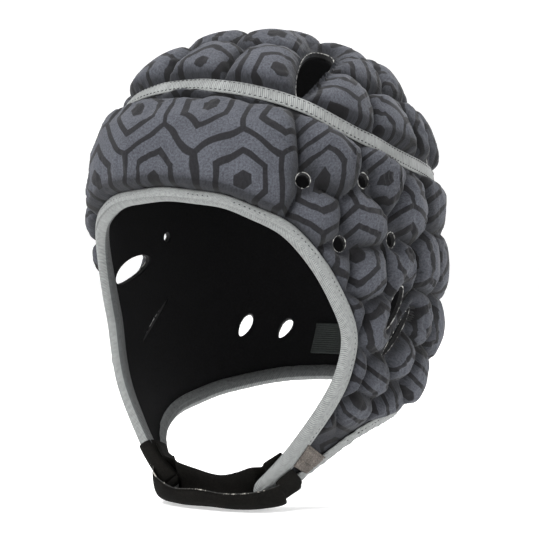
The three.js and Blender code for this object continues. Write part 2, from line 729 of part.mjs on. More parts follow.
function troughUnderChin(row) {
  const fold = new THREE.Vector3(row.side * HEAD_HALF_WIDTH, -row.ahead * HEAD_FRONT, -row.drop * CHIN_DROP);
  const lean = THREE.MathUtils.degToRad(row.lean);
  const turn = THREE.MathUtils.degToRad(row.turn);
  const up = new THREE.Vector3(0, -Math.sin(lean), Math.cos(lean));
  const outward = new THREE.Vector3(Math.sin(turn), -Math.cos(turn), 0);
  outward.addScaledVector(up, -outward.dot(up)).normalize();
  const at = (across, height) => fold.clone().addScaledVector(outward, across).addScaledVector(up, height);
  return troughSection(at, row.spread * STRAP_WIDTH, row.outer * STRAP_WIDTH, row.inner * STRAP_WIDTH);
}

function makeChinStrap() {
  const left = [...STRAP_ON_TONGUE.map(troughOnTongue), ...STRAP_UNDER_CHIN.map(troughUnderChin)];
  const right = left.slice(0, -1).reverse().map((section) => section.map((p) => (
    new THREE.Vector3(-p.x, p.y, p.z))));
  const stations = [...left, ...right];
  const rails = stations[0].map((_, k) => new THREE.CatmullRomCurve3(stations.map((section) => section[k])));
  return stripOf(Array.from({ length: STRAP_STEPS + 1 }, (_, i) => (
    rails.map((rail) => rail.getPoint(i / STRAP_STEPS)))));
}

// A thin plate that follows the form over a patch of places.
function plateOnForm(placeAt, columns, rows, low, high) {
  const points = [];
  const triangles = [];
  for (const level of [low, high]) {
    for (let row = 0; row <= rows; row += 1) {
      for (let column = 0; column <= columns; column += 1) {
        const foot = placeAt(column / columns, row / rows);
        points.push(foot.clone().addScaledVector(formNormal(foot), level));
      }
    }
  }
  const wide = columns + 1;
  const top = wide * (rows + 1);
  const quad = (a, b, c, d) => triangles.push([a, b, c], [a, c, d]);
  for (let row = 0; row < rows; row += 1) {
    for (let column = 0; column < columns; column += 1) {
      const a = row * wide + column;
      quad(a, a + wide, a + wide + 1, a + 1);
      quad(top + a, top + a + 1, top + a + wide + 1, top + a + wide);
    }
  }
  for (let column = 0; column < columns; column += 1) {
    const far = rows * wide + column;
    quad(column, column + 1, top + column + 1, top + column);
    quad(far + 1, far, top + far, top + far + 1);
  }
  for (let row = 0; row < rows; row += 1) {
    const near = row * wide;
    const far = near + columns;
    quad(near + wide, near, top + near, top + near + wide);
    quad(far, far + wide, top + far + wide, top + far);
  }
  return solidOf(points, triangles);
}

function makeStrapPatch() {
  const corner = (name) => placeOnForm(PATCH[name].angle, PATCH[name].height);
  const placeAt = (u, v) => onForm(corner("topFront").lerp(corner("topRear"), u)
    .lerp(corner("lowFront").lerp(corner("lowRear"), u), v));
  const low = TAPE_OUTSIDE + GAP;
  return plateOnForm(placeAt, 3, 3, low, low + PATCH_WALL);
}

function makeNapeTab() {
  const placeAt = (u, v) => placeOnForm(180 + TAB.halfAngle * (2 * u - 1),
    TAB.top + (TAB.bottom - TAB.top) * v);
  const high = -(GAP + FACET_SAG);
  return plateOnForm(placeAt, 6, 3, high - TAB_WALL, high);
}

// Each piece is a mesh of its own material.
function meshOf(name, solid, color, roughness) {
  const { vertProperties, triVerts } = solid.getMesh();
  const geometry = new THREE.BufferGeometry();
  geometry.setAttribute("position", new THREE.BufferAttribute(new Float32Array(vertProperties), 3));
  geometry.setIndex(new THREE.BufferAttribute(new Uint32Array(triVerts), 1));
  geometry.computeVertexNormals();
  const material = new THREE.MeshStandardMaterial({ color, roughness, metalness: 0 });
  const mesh = new THREE.Mesh(geometry, material);
  mesh.name = name;
  return mesh;
}

const panels = makePanels();
const scrumCap = new THREE.Group();
scrumCap.position.z = -CROWN_HEIGHT;
scrumCap.add(
  meshOf("crown_panel", panels.crown, 0x646874, 0.85),
  meshOf("band_panel", panels.band, 0x646874, 0.85),
  meshOf("lining", makeLining(), 0x0b0b0c, 0.95),
  meshOf("crown_tape", makeCrownTape(), 0xb4b6b6, 0.8),
  meshOf("face_binding", makeFaceBinding(), 0xb0b3b3, 0.8),
  meshOf("nape_binding", makeNapeBinding(), 0x9a9d9d, 0.8),
  meshOf("chin_strap", makeChinStrap(), 0x121211, 0.9),
  meshOf("strap_patch", makeStrapPatch(), 0x4a443f, 0.9),
  meshOf("nape_tab", makeNapeTab(), 0x2c302f, 0.85),
);
export default scrumCap;
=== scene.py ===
import math
import bpy
import numpy as np
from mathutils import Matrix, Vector, noise
from mathutils.kdtree import KDTree


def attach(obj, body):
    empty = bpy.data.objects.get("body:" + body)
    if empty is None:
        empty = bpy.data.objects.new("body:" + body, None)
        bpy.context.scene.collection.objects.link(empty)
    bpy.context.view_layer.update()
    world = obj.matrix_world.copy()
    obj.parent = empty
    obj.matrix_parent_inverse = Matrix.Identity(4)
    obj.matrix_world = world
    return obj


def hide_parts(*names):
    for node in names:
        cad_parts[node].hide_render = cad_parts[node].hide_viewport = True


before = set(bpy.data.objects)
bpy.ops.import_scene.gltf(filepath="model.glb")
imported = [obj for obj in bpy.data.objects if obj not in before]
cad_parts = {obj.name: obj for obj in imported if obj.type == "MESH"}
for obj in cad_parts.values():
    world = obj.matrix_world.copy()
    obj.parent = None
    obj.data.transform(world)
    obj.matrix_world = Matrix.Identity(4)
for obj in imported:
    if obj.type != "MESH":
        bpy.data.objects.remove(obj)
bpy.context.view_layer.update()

# Studio: a wide, faintly glowing pale bowl whose flat middle is the floor, under four soft lights, the
# strongest at the left. The camera stands level with the widest part of the head, 34 degrees to the
# wearer's left of the face, with a long lens.
HEAD_LEVEL = -0.086
FLOOR_LEVEL = -0.2503
CAMERA_TURN = math.radians(34)
CAMERA_DISTANCE = 1.2
CAMERA_LENS = 142.4
AIM_RIGHT = 0.0011
AIM_DOWN = 0.0365
BOWL_RADIUS = 5.0
BOWL_HEIGHT = 3.2
BOWL_BEND = 1.0
FLAT_TO = 0.5
BENT_TO = 0.75


def deselect():
    bpy.ops.object.select_all(action="DESELECT")


def corners(piece):
    """The corners of a mesh as an array."""
    co = np.empty(len(piece.data.vertices) * 3)
    piece.data.vertices.foreach_get("co", co)
    return co.reshape(-1, 3)


def move_corners(piece, points):
    piece.data.vertices.foreach_set("co", np.asarray(points, np.float32).ravel())
    piece.data.update()


def wrapped(name, around, along, place, lengths=(1, 1), ends=False):
    """A grid wrapped to shape: place gives the points for shares across and along it. Edges that meet
    are welded, and open ends are filled. lengths gives the size that its texture map stands for."""
    deselect()
    bpy.ops.mesh.primitive_grid_add(x_subdivisions=around, y_subdivisions=along, size=1)
    piece = bpy.context.object
    piece.name = name
    flat = corners(piece) + 0.5
    move_corners(piece, place(flat[:, 0], flat[:, 1]))
    uv = piece.data.uv_layers.active
    values = np.empty(len(uv.data) * 2)
    uv.data.foreach_get("uv", values)
    uv.data.foreach_set("uv", (values.reshape(-1, 2) * lengths).astype(np.float32).ravel())
    uv.name = "weave"
    bpy.ops.object.mode_set(mode="EDIT")
    bpy.ops.mesh.select_all(action="SELECT")
    bpy.ops.mesh.remove_doubles(threshold=1e-6)
    if ends:
        bpy.ops.mesh.select_all(action="SELECT")
        bpy.ops.mesh.fill_holes(sides=0)
    bpy.ops.mesh.select_all(action="SELECT")
    bpy.ops.mesh.normals_make_consistent(inside=False)
    bpy.ops.object.mode_set(mode="OBJECT")
    bpy.ops.object.shade_smooth()
    return piece


def new_material(name, values):
    """A material with these values, its shader, and short ways to add a node and to link two."""
    material = bpy.data.materials.new(name)
    material.use_nodes = True
    tree = material.node_tree
    shader = tree.nodes["Principled BSDF"]
    for key, value in values.items():
        shader.inputs[key].default_value = value

    def add(kind, settings=None, **inputs):
        made = tree.nodes.new("ShaderNode" + kind)
        for key, value in (settings or {}).items():
            setattr(made, key, value)
        for key, value in inputs.items():
            slot = made.inputs[int(key[1:])] if key[0] == "i" and key[1:].isdigit() else made.inputs[key]
            if isinstance(value, bpy.types.NodeSocket):
                tree.links.new(value, slot)
            else:
                slot.default_value = value
        return made.outputs

    return material, shader, add, tree.links.new


def bowl_place(turn, reach):
    """The bowl: a flat floor, a quarter bend and an upright wall, at shares of the way out and up."""
    radius = np.where(reach < FLAT_TO, reach / FLAT_TO, 1.0) * (BOWL_RADIUS - BOWL_BEND)
    bend = np.clip((reach - FLAT_TO) / (BENT_TO - FLAT_TO), 0, 1) * math.pi / 2
    rise = np.clip((reach - BENT_TO) / (1 - BENT_TO), 0, 1) * (BOWL_HEIGHT - BOWL_BEND)
    radius = np.maximum(radius + BOWL_BEND * np.sin(bend), 0.0)
    angle = turn % 1.0 * 2 * math.pi
    height = FLOOR_LEVEL + BOWL_BEND * (1 - np.cos(bend)) + rise
    return np.stack([radius * np.cos(angle), radius * np.sin(angle), height], 1)


bowl = wrapped("studio_bowl", 64, 48, bowl_place)
PAPER = {
    "Base Color": (0.86, 0.86, 0.86, 1),
    "Roughness": 0.9,
    "Emission Color": (1, 1, 1, 1),
    "Emission Strength": 0.42,
}
bowl.data.materials.append(new_material("studio_paper", PAPER)[0])

back = Vector((math.sin(CAMERA_TURN), -math.cos(CAMERA_TURN), 0))
right = Vector((math.cos(CAMERA_TURN), math.sin(CAMERA_TURN), 0))
head_middle = Vector((0, 0, HEAD_LEVEL))
bpy.ops.object.camera_add(location=head_middle + back * CAMERA_DISTANCE)
camera = bpy.context.object
aim = head_middle + right * AIM_RIGHT - Vector((0, 0, AIM_DOWN))
camera.rotation_euler = (aim - camera.location).to_track_quat("-Z", "Y").to_euler()
camera.data.lens = CAMERA_LENS
bpy.context.scene.camera = camera

LIGHTS = [
    dict(name="key", side=-0.80, ahead=1.00, up=1.30, size=0.8, power=40),
    dict(name="fill", side=1.40, ahead=0.70, up=0.45, size=0.9, power=9),
    dict(name="top", side=0.25, ahead=-0.35, up=1.60, size=0.9, power=30),
    dict(name="rim", side=0.90, ahead=-1.30, up=0.60, size=0.8, power=8),
]
for row in LIGHTS:
    place = right * row["side"] + back * row["ahead"] + Vector((0, 0, row["up"] + HEAD_LEVEL))
    bpy.ops.object.light_add(type="AREA", location=place)
    lamp = bpy.context.object
    lamp.name = row["name"] + "_light"
    lamp.data.size = row["size"]
    lamp.data.energy = row["power"]
    lamp.rotation_euler = (head_middle - place).to_track_quat("-Z", "Y").to_euler()
world = bpy.data.worlds.new("studio_air")
world.use_nodes = True
background = world.node_tree.nodes["Background"]
background.inputs["Color"].default_value = (1, 1, 1, 1)
background.inputs["Strength"].default_value = 0.16
bpy.context.scene.world = world
bpy.context.scene.view_settings.view_transform = "Standard"

# Lining: a thin black knit, laminated to the backs of the pads, that lies against the head. Its
# inside is the head form: level sections below the widest level and a dome above it. Every other
# piece is placed by its level, which is how far out it lies from this form.
HALF_WIDTH = 0.079
HEAD_FRONT = 0.094
HEAD_BACK = 0.096
CROWN_HEIGHT = 0.086
CHIN_DROP = 0.190
PLAN_ROUNDNESS = 2.45
DOME_ROUNDNESS = 2.15
HEART = np.array([0, 0, HEAD_LEVEL - 0.040])
RAY_LIMIT = 0.155
RAY_HALVINGS = 22
LINING_WALL = 0.001
LINING_CUTS = 63
SECTIONS = dict(
    drop=np.array([0.00, 0.20, 0.38, 0.50, 0.62, 0.74, 0.86, 1.00]),
    width=np.array([1.00, 1.01, 1.01, 0.95, 0.81, 0.63, 0.40, 0.00]),
    front=np.array([1.00, 1.00, 0.98, 0.93, 0.85, 0.73, 0.52, 0.00]),
    back=np.array([1.00, 0.98, 0.89, 0.77, 0.62, 0.45, 0.28, 0.00]),
)
# The bound edge runs from the middle of the forehead down the left cheek to the tongue's tip, and on
# along the nape edge to the middle of the nape. Angles are in degrees from the forehead towards the
# wearer's left, and heights are shares of CROWN_HEIGHT above the widest level, of CHIN_DROP below it.
EDGE = dict(
    angle=[0, 12, 24, 33, 44, 53.5, 60.5, 65, 64, 59.5, 52.5, 44,
           38.5, 46, 55, 65, 76, 91, 108, 128, 152, 180],
    height=[0.045, 0.030, 0.000, -0.028, -0.076, -0.165, -0.263, -0.358, -0.455, -0.563, -0.672, -0.752,
            -0.795, -0.806, -0.776, -0.722, -0.668, -0.622, -0.598, -0.567, -0.535, -0.522],
)
TIP_ROW = 12
EDGE_STEPS = 1200
ROUND_VENTS = [
    dict(angle=50, height=0.125, bore=0.0084, both=True),
    dict(angle=73, height=0.125, bore=0.0084, both=True),
    dict(angle=62.5, height=-0.111, bore=0.0084, both=False),
    dict(angle=87, height=-0.104, bore=0.0084, both=False),
    dict(angle=-97, height=-0.100, bore=0.0064, both=False),
]
LEAVES = [
    dict(panel="crown", start=(50, 0.600), end=(102, 0.925), width=0.015, skew=-0.25, both=True),
    dict(panel="crown", start=(119, 0.220), end=(124, 0.640), width=0.009, skew=0.10, both=True),
    dict(panel="band", start=(94, -0.232), end=(81.5, -0.350), width=0.0082, skew=0.15, both=False),
    dict(panel="band", start=(-88, -0.165), end=(-64, -0.225), width=0.0125, skew=0.00, both=False),
    dict(panel="band", start=(98.5, -0.290), end=(82, -0.418), width=0.0052, skew=0.00, both=False),
    dict(panel="band", start=(-98.5, -0.290), end=(-82, -0.418), width=0.0030, skew=0.00, both=False),
    dict(panel="band", start=(137.2, -0.345), end=(133.4, -0.415), width=0.0065, skew=0.20, both=True),
    dict(panel="band", start=(153.2, -0.360), end=(149.4, -0.420), width=0.0065, skew=0.20, both=True),
]
RIM_SIDES = 56
CUT_NEAR = 0.02
CUT_FAR = 3.0
FACE_POLE = 0.8


def section_share(drop, column):
    """The share of a named size at a drop below the widest level, on a smooth curve."""
    rows = SECTIONS["drop"]
    shares = SECTIONS[column]
    slope = np.zeros(len(rows))
    slope[1:-1] = (shares[2:] - shares[:-2]) / (rows[2:] - rows[:-2])
    slope[-1] = (shares[-1] - shares[-2]) / (rows[-1] - rows[-2])
    i = np.clip(np.searchsorted(rows, drop, side="right") - 1, 0, len(rows) - 2)
    span = rows[i + 1] - rows[i]
    t = (drop - rows[i]) / span
    start = 2 * t**3 - 3 * t**2 + 1
    ends = (t**3 - 2 * t**2 + t) * slope[i] + (t**3 - t**2) * slope[i + 1]
    return start * shares[i] + (1 - start) * shares[i + 1] + span * ends


def plan_level(x, y):
    """1 on the superellipse of half width and length 1, and less within it."""
    return (np.abs(x) ** PLAN_ROUNDNESS + np.abs(y) ** PLAN_ROUNDNESS) ** (1 / PLAN_ROUNDNESS)


def form_level(points):
    """Negative inside the head form, zero on it and positive outside."""
    x, y = points[:, 0], points[:, 1]
    z = points[:, 2] - HEAD_LEVEL
    drop = np.clip(-z / CHIN_DROP, 0, 0.9999)
    width = HALF_WIDTH * section_share(drop, "width")
    front = HEAD_FRONT * section_share(drop, "front")
    depth = np.where(y < 0, front, HEAD_BACK * section_share(drop, "back"))
    plan = plan_level(x / width, y / depth)
    up = np.clip(z / CROWN_HEIGHT, 0, None)
    return (plan**DOME_ROUNDNESS + up**DOME_ROUNDNESS) ** (1 / DOME_ROUNDNESS) - 1


def unit(rows):
    """A vector, or each row of an array of them, brought to length 1."""
    return rows / np.linalg.norm(rows, axis=-1, keepdims=True)


def on_form(points):
    """The points of the head form on the rays from its heart through the given points."""
    way = unit(points - HEART)
    near = np.zeros(len(way))
    far = np.full(len(way), RAY_LIMIT)
    for _ in range(RAY_HALVINGS):
        middle = (near + far) / 2
        inside = form_level(HEART + way * middle[:, None]) < 0
        near = np.where(inside, middle, near)
        far = np.where(inside, far, middle)
    return HEART + way * ((near + far) / 2)[:, None]


def form_normal(points):
    """The outward normals of the head form at points on it."""
    step = 2e-5
    rise = [form_level(points + step * axis) - form_level(points - step * axis) for axis in np.eye(3)]
    return unit(np.stack(rise, 1))


def out_from(foot, level):
    """Points at levels out from points of the form."""
    return foot + form_normal(foot) * level[:, None]


def on_head(angle, height):
    """Places given by angles and heights, as points of the head form."""
    angle, height = np.broadcast_arrays(np.asarray(angle, float), np.asarray(height, float))
    drop = np.clip(-height, 0, 1)
    dome = (1 - np.clip(height, 0, 1) ** DOME_ROUNDNESS) ** (1 / DOME_ROUNDNESS)
    sine, cosine = np.sin(np.radians(angle)), np.cos(np.radians(angle))
    out = dome / plan_level(sine, cosine)
    front = HEAD_FRONT * section_share(drop, "front")
    depth = np.where(cosine > 0, front, HEAD_BACK * section_share(drop, "back"))
    width = HALF_WIDTH * section_share(drop, "width")
    z = HEAD_LEVEL + np.where(height > 0, height * CROWN_HEIGHT, height * CHIN_DROP)
    return np.stack([width * sine * out, -depth * cosine * out, z], -1)


def through(rows, shares, closed):
    """Points at shares of a smooth curve through rows of points, which bends least where rows crowd."""
    rows = np.asarray(rows, float)
    if closed:
        rows = np.concatenate([rows[-1:], rows, rows[:2]])
    else:
        rows = np.concatenate([2 * rows[:1] - rows[1:2], rows, 2 * rows[-1:] - rows[-2:-1]])
    pieces = len(rows) - 3
    place = np.clip(np.asarray(shares, float) * pieces, 0, pieces)
    i = np.minimum(place.astype(int), pieces - 1)
    t = (place - i).reshape((-1,) + (1,) * (rows.ndim - 1))
    a, b, c, d = rows[i], rows[i + 1], rows[i + 2], rows[i + 3]
    gap = [np.sqrt(np.linalg.norm(q - p, axis=-1, keepdims=True)) + 1e-9 for p, q in ((a, b), (b, c), (c, d))]
    start = ((b - a) / gap[0] - (c - a) / (gap[0] + gap[1]) + (c - b) / gap[1]) * gap[1]
    end = ((c - b) / gap[1] - (d - b) / (gap[1] + gap[2]) + (d - c) / gap[2]) * gap[1]
    return ((2 * b - 2 * c + start + end) * t**3 + (3 * c - 3 * b - 2 * start - end) * t**2 + start * t + b)


def step_lengths(line):
    """The lengths of a closed line's steps."""
    return np.linalg.norm(np.diff(line, axis=0, append=line[:1]), axis=1)


def running(steps):
    """The running sum of some steps, from 0."""
    return np.concatenate([[0], np.cumsum(steps)])


def line_on_form(angles, heights, steps):
    """A closed line on the form in equal steps, given from forehead to back and mirrored to the right."""
    left = on_head(angles, heights)
    mirror = left[1:-1][::-1] * [-1, 1, 1]
    fine = through(np.concatenate([left, mirror]), np.linspace(0, 1, 8 * steps, endpoint=False), True)
    reach = running(step_lengths(fine))
    ring = np.concatenate([fine, fine[:1]])
    even = np.linspace(0, reach[-1], steps, endpoint=False)
    return on_form(np.stack([np.interp(even, reach, ring[:, k]) for k in range(3)], 1))


def frames_along(line):
    """Frames along a closed line: its way, the form's normal, the way into the cap and the ray out."""
    along = unit(np.roll(line, -1, 0) - np.roll(line, 1, 0))
    normal = form_normal(line)
    inward = unit(np.cross(normal, along))
    return dict(point=line, along=along, normal=normal, inward=inward, ray=unit(line - HEART))


def frames_at(frames, shares):
    """The frames at shares of a closed line."""
    count = len(frames["point"])
    place = np.asarray(shares, float) % 1.0 * count
    i = place.astype(int) % count
    t = (place - place.astype(int))[:, None]
    return {key: value[i] * (1 - t) + value[(i + 1) % count] * t for key, value in frames.items()}


def beside(frames, into, level):
    """Points so far into the cap from a line, and at a level out from the form."""
    into, level = np.broadcast_arrays(into, level, subok=False)
    moved = frames["point"] + frames["inward"] * into[:, None]
    slant = level / np.sum(frames["ray"] * frames["normal"], axis=1)
    past = moved + frames["ray"] * slant[:, None]
    return np.where((into <= 0)[:, None], past, out_from(on_form(moved), level))


def bag(name, cuts, level_at, halved=False):
    """A closed bag round the form: a subdivided cube, its corners set out from the heart."""
    deselect()
    bpy.ops.mesh.primitive_cube_add(size=2)
    piece = bpy.context.object
    piece.name = name
    bpy.ops.object.mode_set(mode="EDIT")
    bpy.ops.mesh.select_all(action="SELECT")
    bpy.ops.mesh.subdivide(number_cuts=cuts)
    if halved:
        bpy.ops.mesh.subdivide(number_cuts=1)
    bpy.ops.object.mode_set(mode="OBJECT")
    way = np.tan(corners(piece) * math.pi / 4)
    foot = on_form(HEART + way * HALF_WIDTH)
    move_corners(piece, out_from(foot, level_at(foot)))
    return piece


def cutter(line, near=0.6, far=1.5, pole=None):
    """A solid from near the heart through a closed line to well past the cap."""
    deselect()
    count = len(line)
    bpy.ops.mesh.primitive_cylinder_add(vertices=count, radius=1, depth=2, end_fill_type="TRIFAN")
    piece = bpy.context.object
    flat = corners(piece)
    turn = np.arctan2(flat[:, 0], flat[:, 1]) / (2 * math.pi)
    index = np.round(turn * count).astype(int) % count
    on_rim = np.hypot(flat[:, 0], flat[:, 1]) > 0.5
    middle = line.mean(0) if pole is None else np.asarray(pole)
    spot = np.where(on_rim[:, None], line[index], middle)
    reach = np.where(flat[:, 2] > 0, far, near)
    move_corners(piece, HEART + (spot - HEART) * reach[:, None])
    bpy.ops.object.mode_set(mode="EDIT")
    bpy.ops.mesh.select_all(action="SELECT")
    bpy.ops.mesh.normals_make_consistent(inside=False)
    bpy.ops.object.mode_set(mode="OBJECT")
    return piece


def pick(piece):
    """Leaves one piece selected and active."""
    deselect()
    piece.select_set(True)
    bpy.context.view_layer.objects.active = piece


def modify(piece, kind, **settings):
    """Gives a piece a modifier and applies it."""
    pick(piece)
    modifier = piece.modifiers.new(kind.lower(), kind)
    for key, value in settings.items():
        setattr(modifier, key, value)
    bpy.ops.object.modifier_apply(modifier=modifier.name)


def carve(piece, tool, operation="DIFFERENCE"):
    modify(piece, "BOOLEAN", operation=operation, solver="MANIFOLD", object=tool)
    if not len(piece.data.polygons):
        raise ValueError("nothing is left of " + piece.name)


def clear(*tools):
    for tool in tools:
        bpy.data.objects.remove(tool)


def rim_of(centre, axis, half_length, half_width, skew):
    """The rim of an opening: an ellipse on the form, its widest place moved along by the skew."""
    normal = form_normal(centre[None])[0]
    along = unit(axis - normal * np.dot(axis, normal))
    across = np.cross(normal, along)
    turn = np.linspace(0, 2 * math.pi, RIM_SIDES, endpoint=False)
    lengthwise = -np.cos(turn) * half_length
    sideways = np.sin(turn) * half_width * (1 + skew * np.cos(turn))
    return on_form(centre + along * lengthwise[:, None] + across * sideways[:, None])


rims = {"crown": [], "band": []}
for vent in ROUND_VENTS:
    radius = vent["bore"] / 2
    for side in (1, -1) if vent["both"] else (1,):
        centre = on_head(vent["angle"] * side, vent["height"])
        rims["band"].append(rim_of(centre, np.array([0, 0, 1.0]), radius, radius, 0))
for leaf in LEAVES:
    for side in (1, -1) if leaf["both"] else (1,):
        start = on_head(leaf["start"][0] * side, leaf["start"][1])
        end = on_head(leaf["end"][0] * side, leaf["end"][1])
        centre = on_form(((start + end) / 2)[None])[0]
        half = np.linalg.norm(end - start) / 2
        rims[leaf["panel"]].append(rim_of(centre, end - start, half, leaf["width"] / 2, leaf["skew"]))

edge_line = line_on_form(EDGE["angle"], EDGE["height"], EDGE_STEPS)
edge_frames = frames_along(edge_line)
tip = on_head(EDGE["angle"][TIP_ROW], EDGE["height"][TIP_ROW])
tip_index = int(np.argmin(np.linalg.norm(edge_line[:EDGE_STEPS // 2] - tip, axis=1)))
face_pole = HEART + (tip * [0, 1, 1] - HEART) * FACE_POLE
opening = cutter(edge_line[::3], CUT_NEAR, CUT_FAR, face_pole)


def joined(pieces):
    deselect()
    for piece in pieces:
        piece.select_set(True)
    bpy.context.view_layer.objects.active = pieces[0]
    bpy.ops.object.join()
    return bpy.context.object


def paint(piece, *materials):
    """Gives a piece these materials and no others."""
    piece.data.materials.clear()
    for material in materials:
        piece.data.materials.append(material)


def blend(add, share, low, high, mode="MIX"):
    """The colour between two others, at a share of the way."""
    return add("Mix", dict(data_type="RGBA", blend_type=mode), i0=share, i6=low, i7=high)[2]


def spread_out(add, value, low, high):
    """A value whose range from low to high is spread out to 0 to 1."""
    return add("MapRange", Value=value, **{"From Min": low, "From Max": high})[0]


def calculate(add, operation, **inputs):
    return add("Math", dict(operation=operation), **inputs)[0]


def cloth_finish(name, dark, light, roughness, scale, detail=2, uneven=0.5, cells=False, worn=None,
                 spread=None, relief=None, specular=0.5):
    """A cloth of two tones, which a fine grain mixes. It can be worn in patches and raised by the grain."""
    values = {"Roughness": roughness, "Specular IOR Level": specular}
    material, shader, add, link = new_material(name, values)
    place = add("TexCoord")["Object"]
    if cells:
        grain = add("TexVoronoi", Vector=place, Scale=scale)["Distance"]
    else:
        grain = add("TexNoise", Vector=place, Scale=scale, Detail=detail, Roughness=uneven)["Fac"]
    share = grain
    if worn:
        patches = add("TexNoise", Vector=place, Scale=worn, Detail=3)["Fac"]
        share = calculate(add, "MULTIPLY", i0=grain, i1=patches)
    if spread:
        share = spread_out(add, share, *spread)
    link(blend(add, share, dark + (1,), light + (1,)), shader.inputs["Base Color"])
    if relief:
        raised = add("Bump", Strength=relief[0], Distance=relief[1], Height=grain)["Normal"]
        link(raised, shader.inputs["Normal"])
    return material


vent_cutters = {panel: joined([cutter(rim) for rim in lines]) for panel, lines in rims.items()}

lining = bag("inner_knit", LINING_CUTS, lambda foot: np.full(len(foot), LINING_WALL))
hollow = bag("hollow", LINING_CUTS, lambda foot: np.zeros(len(foot)))
carve(lining, hollow)
carve(lining, opening)
carve(lining, vent_cutters["crown"])
carve(lining, vent_cutters["band"])
clear(hollow)
pick(lining)
bpy.ops.object.shade_smooth_by_angle(angle=math.radians(40))
paint(lining, cloth_finish("black_knit", (0.003, 0.003, 0.003), (0.009, 0.009, 0.010), 1.0, 900,
                           relief=(0.35, 0.0003), specular=0.15))
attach(lining, "root")
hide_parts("lining")

# Padded panels: foam pads welded between a heathered grey-blue knit and the lining, in one bag that
# the crown seam divides into the crown and the band. The knit is flat along seams, edges and vents,
# and blown up over each pad. A honeycomb of nested rings is printed on it in near black.
PANEL_INSIDE = 0.0013
PANEL_SEAM_FACE = 0.0038
PANEL_CUTS = 74
PAD_RISE = 0.0080
PAD_FULLNESS = 0.75
PAD_UNEVEN = 0.10
GATHER = 0.0009
CHANNEL_HALF = 0.0005
PAD_SHOULDER = 0.0030
TAPE_SHOULDER = 0.0015
RIM_SHOULDER = 0.0032
RIM_SEWN = 0.001
CROWN_TAPE_WIDTH = 0.0086
FACE_BINDING_WIDTH = 0.0056
NAPE_BINDING_WIDTH = 0.0052
FACE_BINDING_PAST_TIP = 0.0127
TONGUE_PADDED_TO = -0.54
TONGUE_FLAT_FROM = -0.64
SEAM_GAP = 0.0003
BUTTON_RADIUS = 0.0075
BUTTON_RIB_PITCH = 0.0026
BUTTON_RIB = 0.0004
SEAM_STEPS = 800
HELD_AT_SEAM = 1.15
HELD_LESS_ON_PAD = 1.2
KNIT_FRAMES = 8
KNIT_REACH = 0.0022
KNIT = dict(
    quality=3,
    mass=0.15,
    tension_stiffness=12,
    compression_stiffness=12,
    shear_stiffness=5,
    bending_stiffness=0.15,
    vertex_group_mass="sewn",
    shrink_min=-0.03,
    use_pressure=True,
    uniform_pressure_force=6,
)
PROFILE_STEPS = 400
CUT_REACH = 0.0012
UNDERSIDE = -0.2
UPRIGHT = 0.45
PRINT_CELL = 42.0
PRINT_DRIFT = 13
LIGHT_YARN = [(0.022, 0.023, 0.029, 1), (0.078, 0.083, 0.098, 1)]
DARK_YARN = [(0.0045, 0.0045, 0.0055, 1), (0.0115, 0.0115, 0.0140, 1)]
CHANNEL_SHADE = 0.30
INK_STOPS = [
    (0.0, 1), (0.180, 1), (0.190, 0), (0.470, 0), (0.480, 1),
    (0.615, 1), (0.625, 0), (0.925, 0), (0.935, 1),
]
SEAM = dict(
    angle=[0, 21, 36, 51, 66, 85, 104, 128, 154, 180],
    height=[0.705, 0.685, 0.645, 0.575, 0.460, 0.345, 0.250, 0.160, 0.105, 0.090],
)
# Each pad's name, angle and height. Pads that share a name run on without a channel between them.
BAND_PADS = [
    ("forehead", 0, 0.33),
    ("forehead", 20, 0.32),
    ("forehead", 36, 0.27),
    ("forehead", 37, 0.06),
    ("temple top", 60, 0.25),
    ("temple front", 53, -0.045),
    ("temple button", 83, 0.16),
    ("temple rear", 71, -0.048),
    ("over ear", 97, -0.030),
    ("behind temple", 117, 0.030),
    ("cheek top", 59, -0.175),
    ("before ear", 71.5, -0.190),
    ("ear top", 91, -0.180),
    ("behind ear top", 108, -0.170),
    ("cheek middle", 64, -0.320),
    ("cheek ear", 76, -0.345),
    ("behind ear", 103, -0.330),
    ("under ear", 92, -0.430),
    ("cheek low", 66, -0.455),
    ("jaw top", 79, -0.480),
    ("jaw rear", 109, -0.485),
    ("jaw low", 74, -0.570),
    ("tongue", 60, -0.620),
    ("jaw edge", 93, -0.560),
    ("back top outer", 139, -0.010),
    ("back top inner", 163, -0.030),
    ("back upper outer", 127, -0.185),
    ("back upper inner", 149, -0.200),
    ("back upper middle", 180, -0.190),
    ("back lower outer", 121, -0.360),
    ("back lower inner", 160, -0.365),
    ("nape outer", 138, -0.500),
    ("nape middle", 180, -0.470),
]
# Each pad's name and its place seen from above: to the side by half widths and ahead by half lengths.
CROWN_PADS = [
    ("front middle", 0.00, 0.58),
    ("front side", 0.40, 0.52),
    ("upper front", 0.21, 0.20),
    ("over temple", 0.82, 0.30),
    ("top", 0.00, -0.13),
    ("top side", 0.56, -0.08),
    ("side", 0.92, -0.08),
    ("upper back", 0.22, -0.46),
    ("back side", 0.62, -0.42),
    ("rear corner", 0.84, -0.42),
    ("back middle", 0.00, -0.80),
    ("back flank", 0.42, -0.76),
    ("back corner", 0.66, -0.72),
]


def crown_place(side, along):
    """A place seen from above, as a point of the head form."""
    plan = min(plan_level(side, along), 0.99)
    height = CROWN_HEIGHT * (1 - plan**DOME_ROUNDNESS) ** (1 / DOME_ROUNDNESS)
    depth = HEAD_FRONT if along > 0 else HEAD_BACK
    return on_form(np.array([[side * HALF_WIDTH, -along * depth, HEAD_LEVEL + height]]))[0]


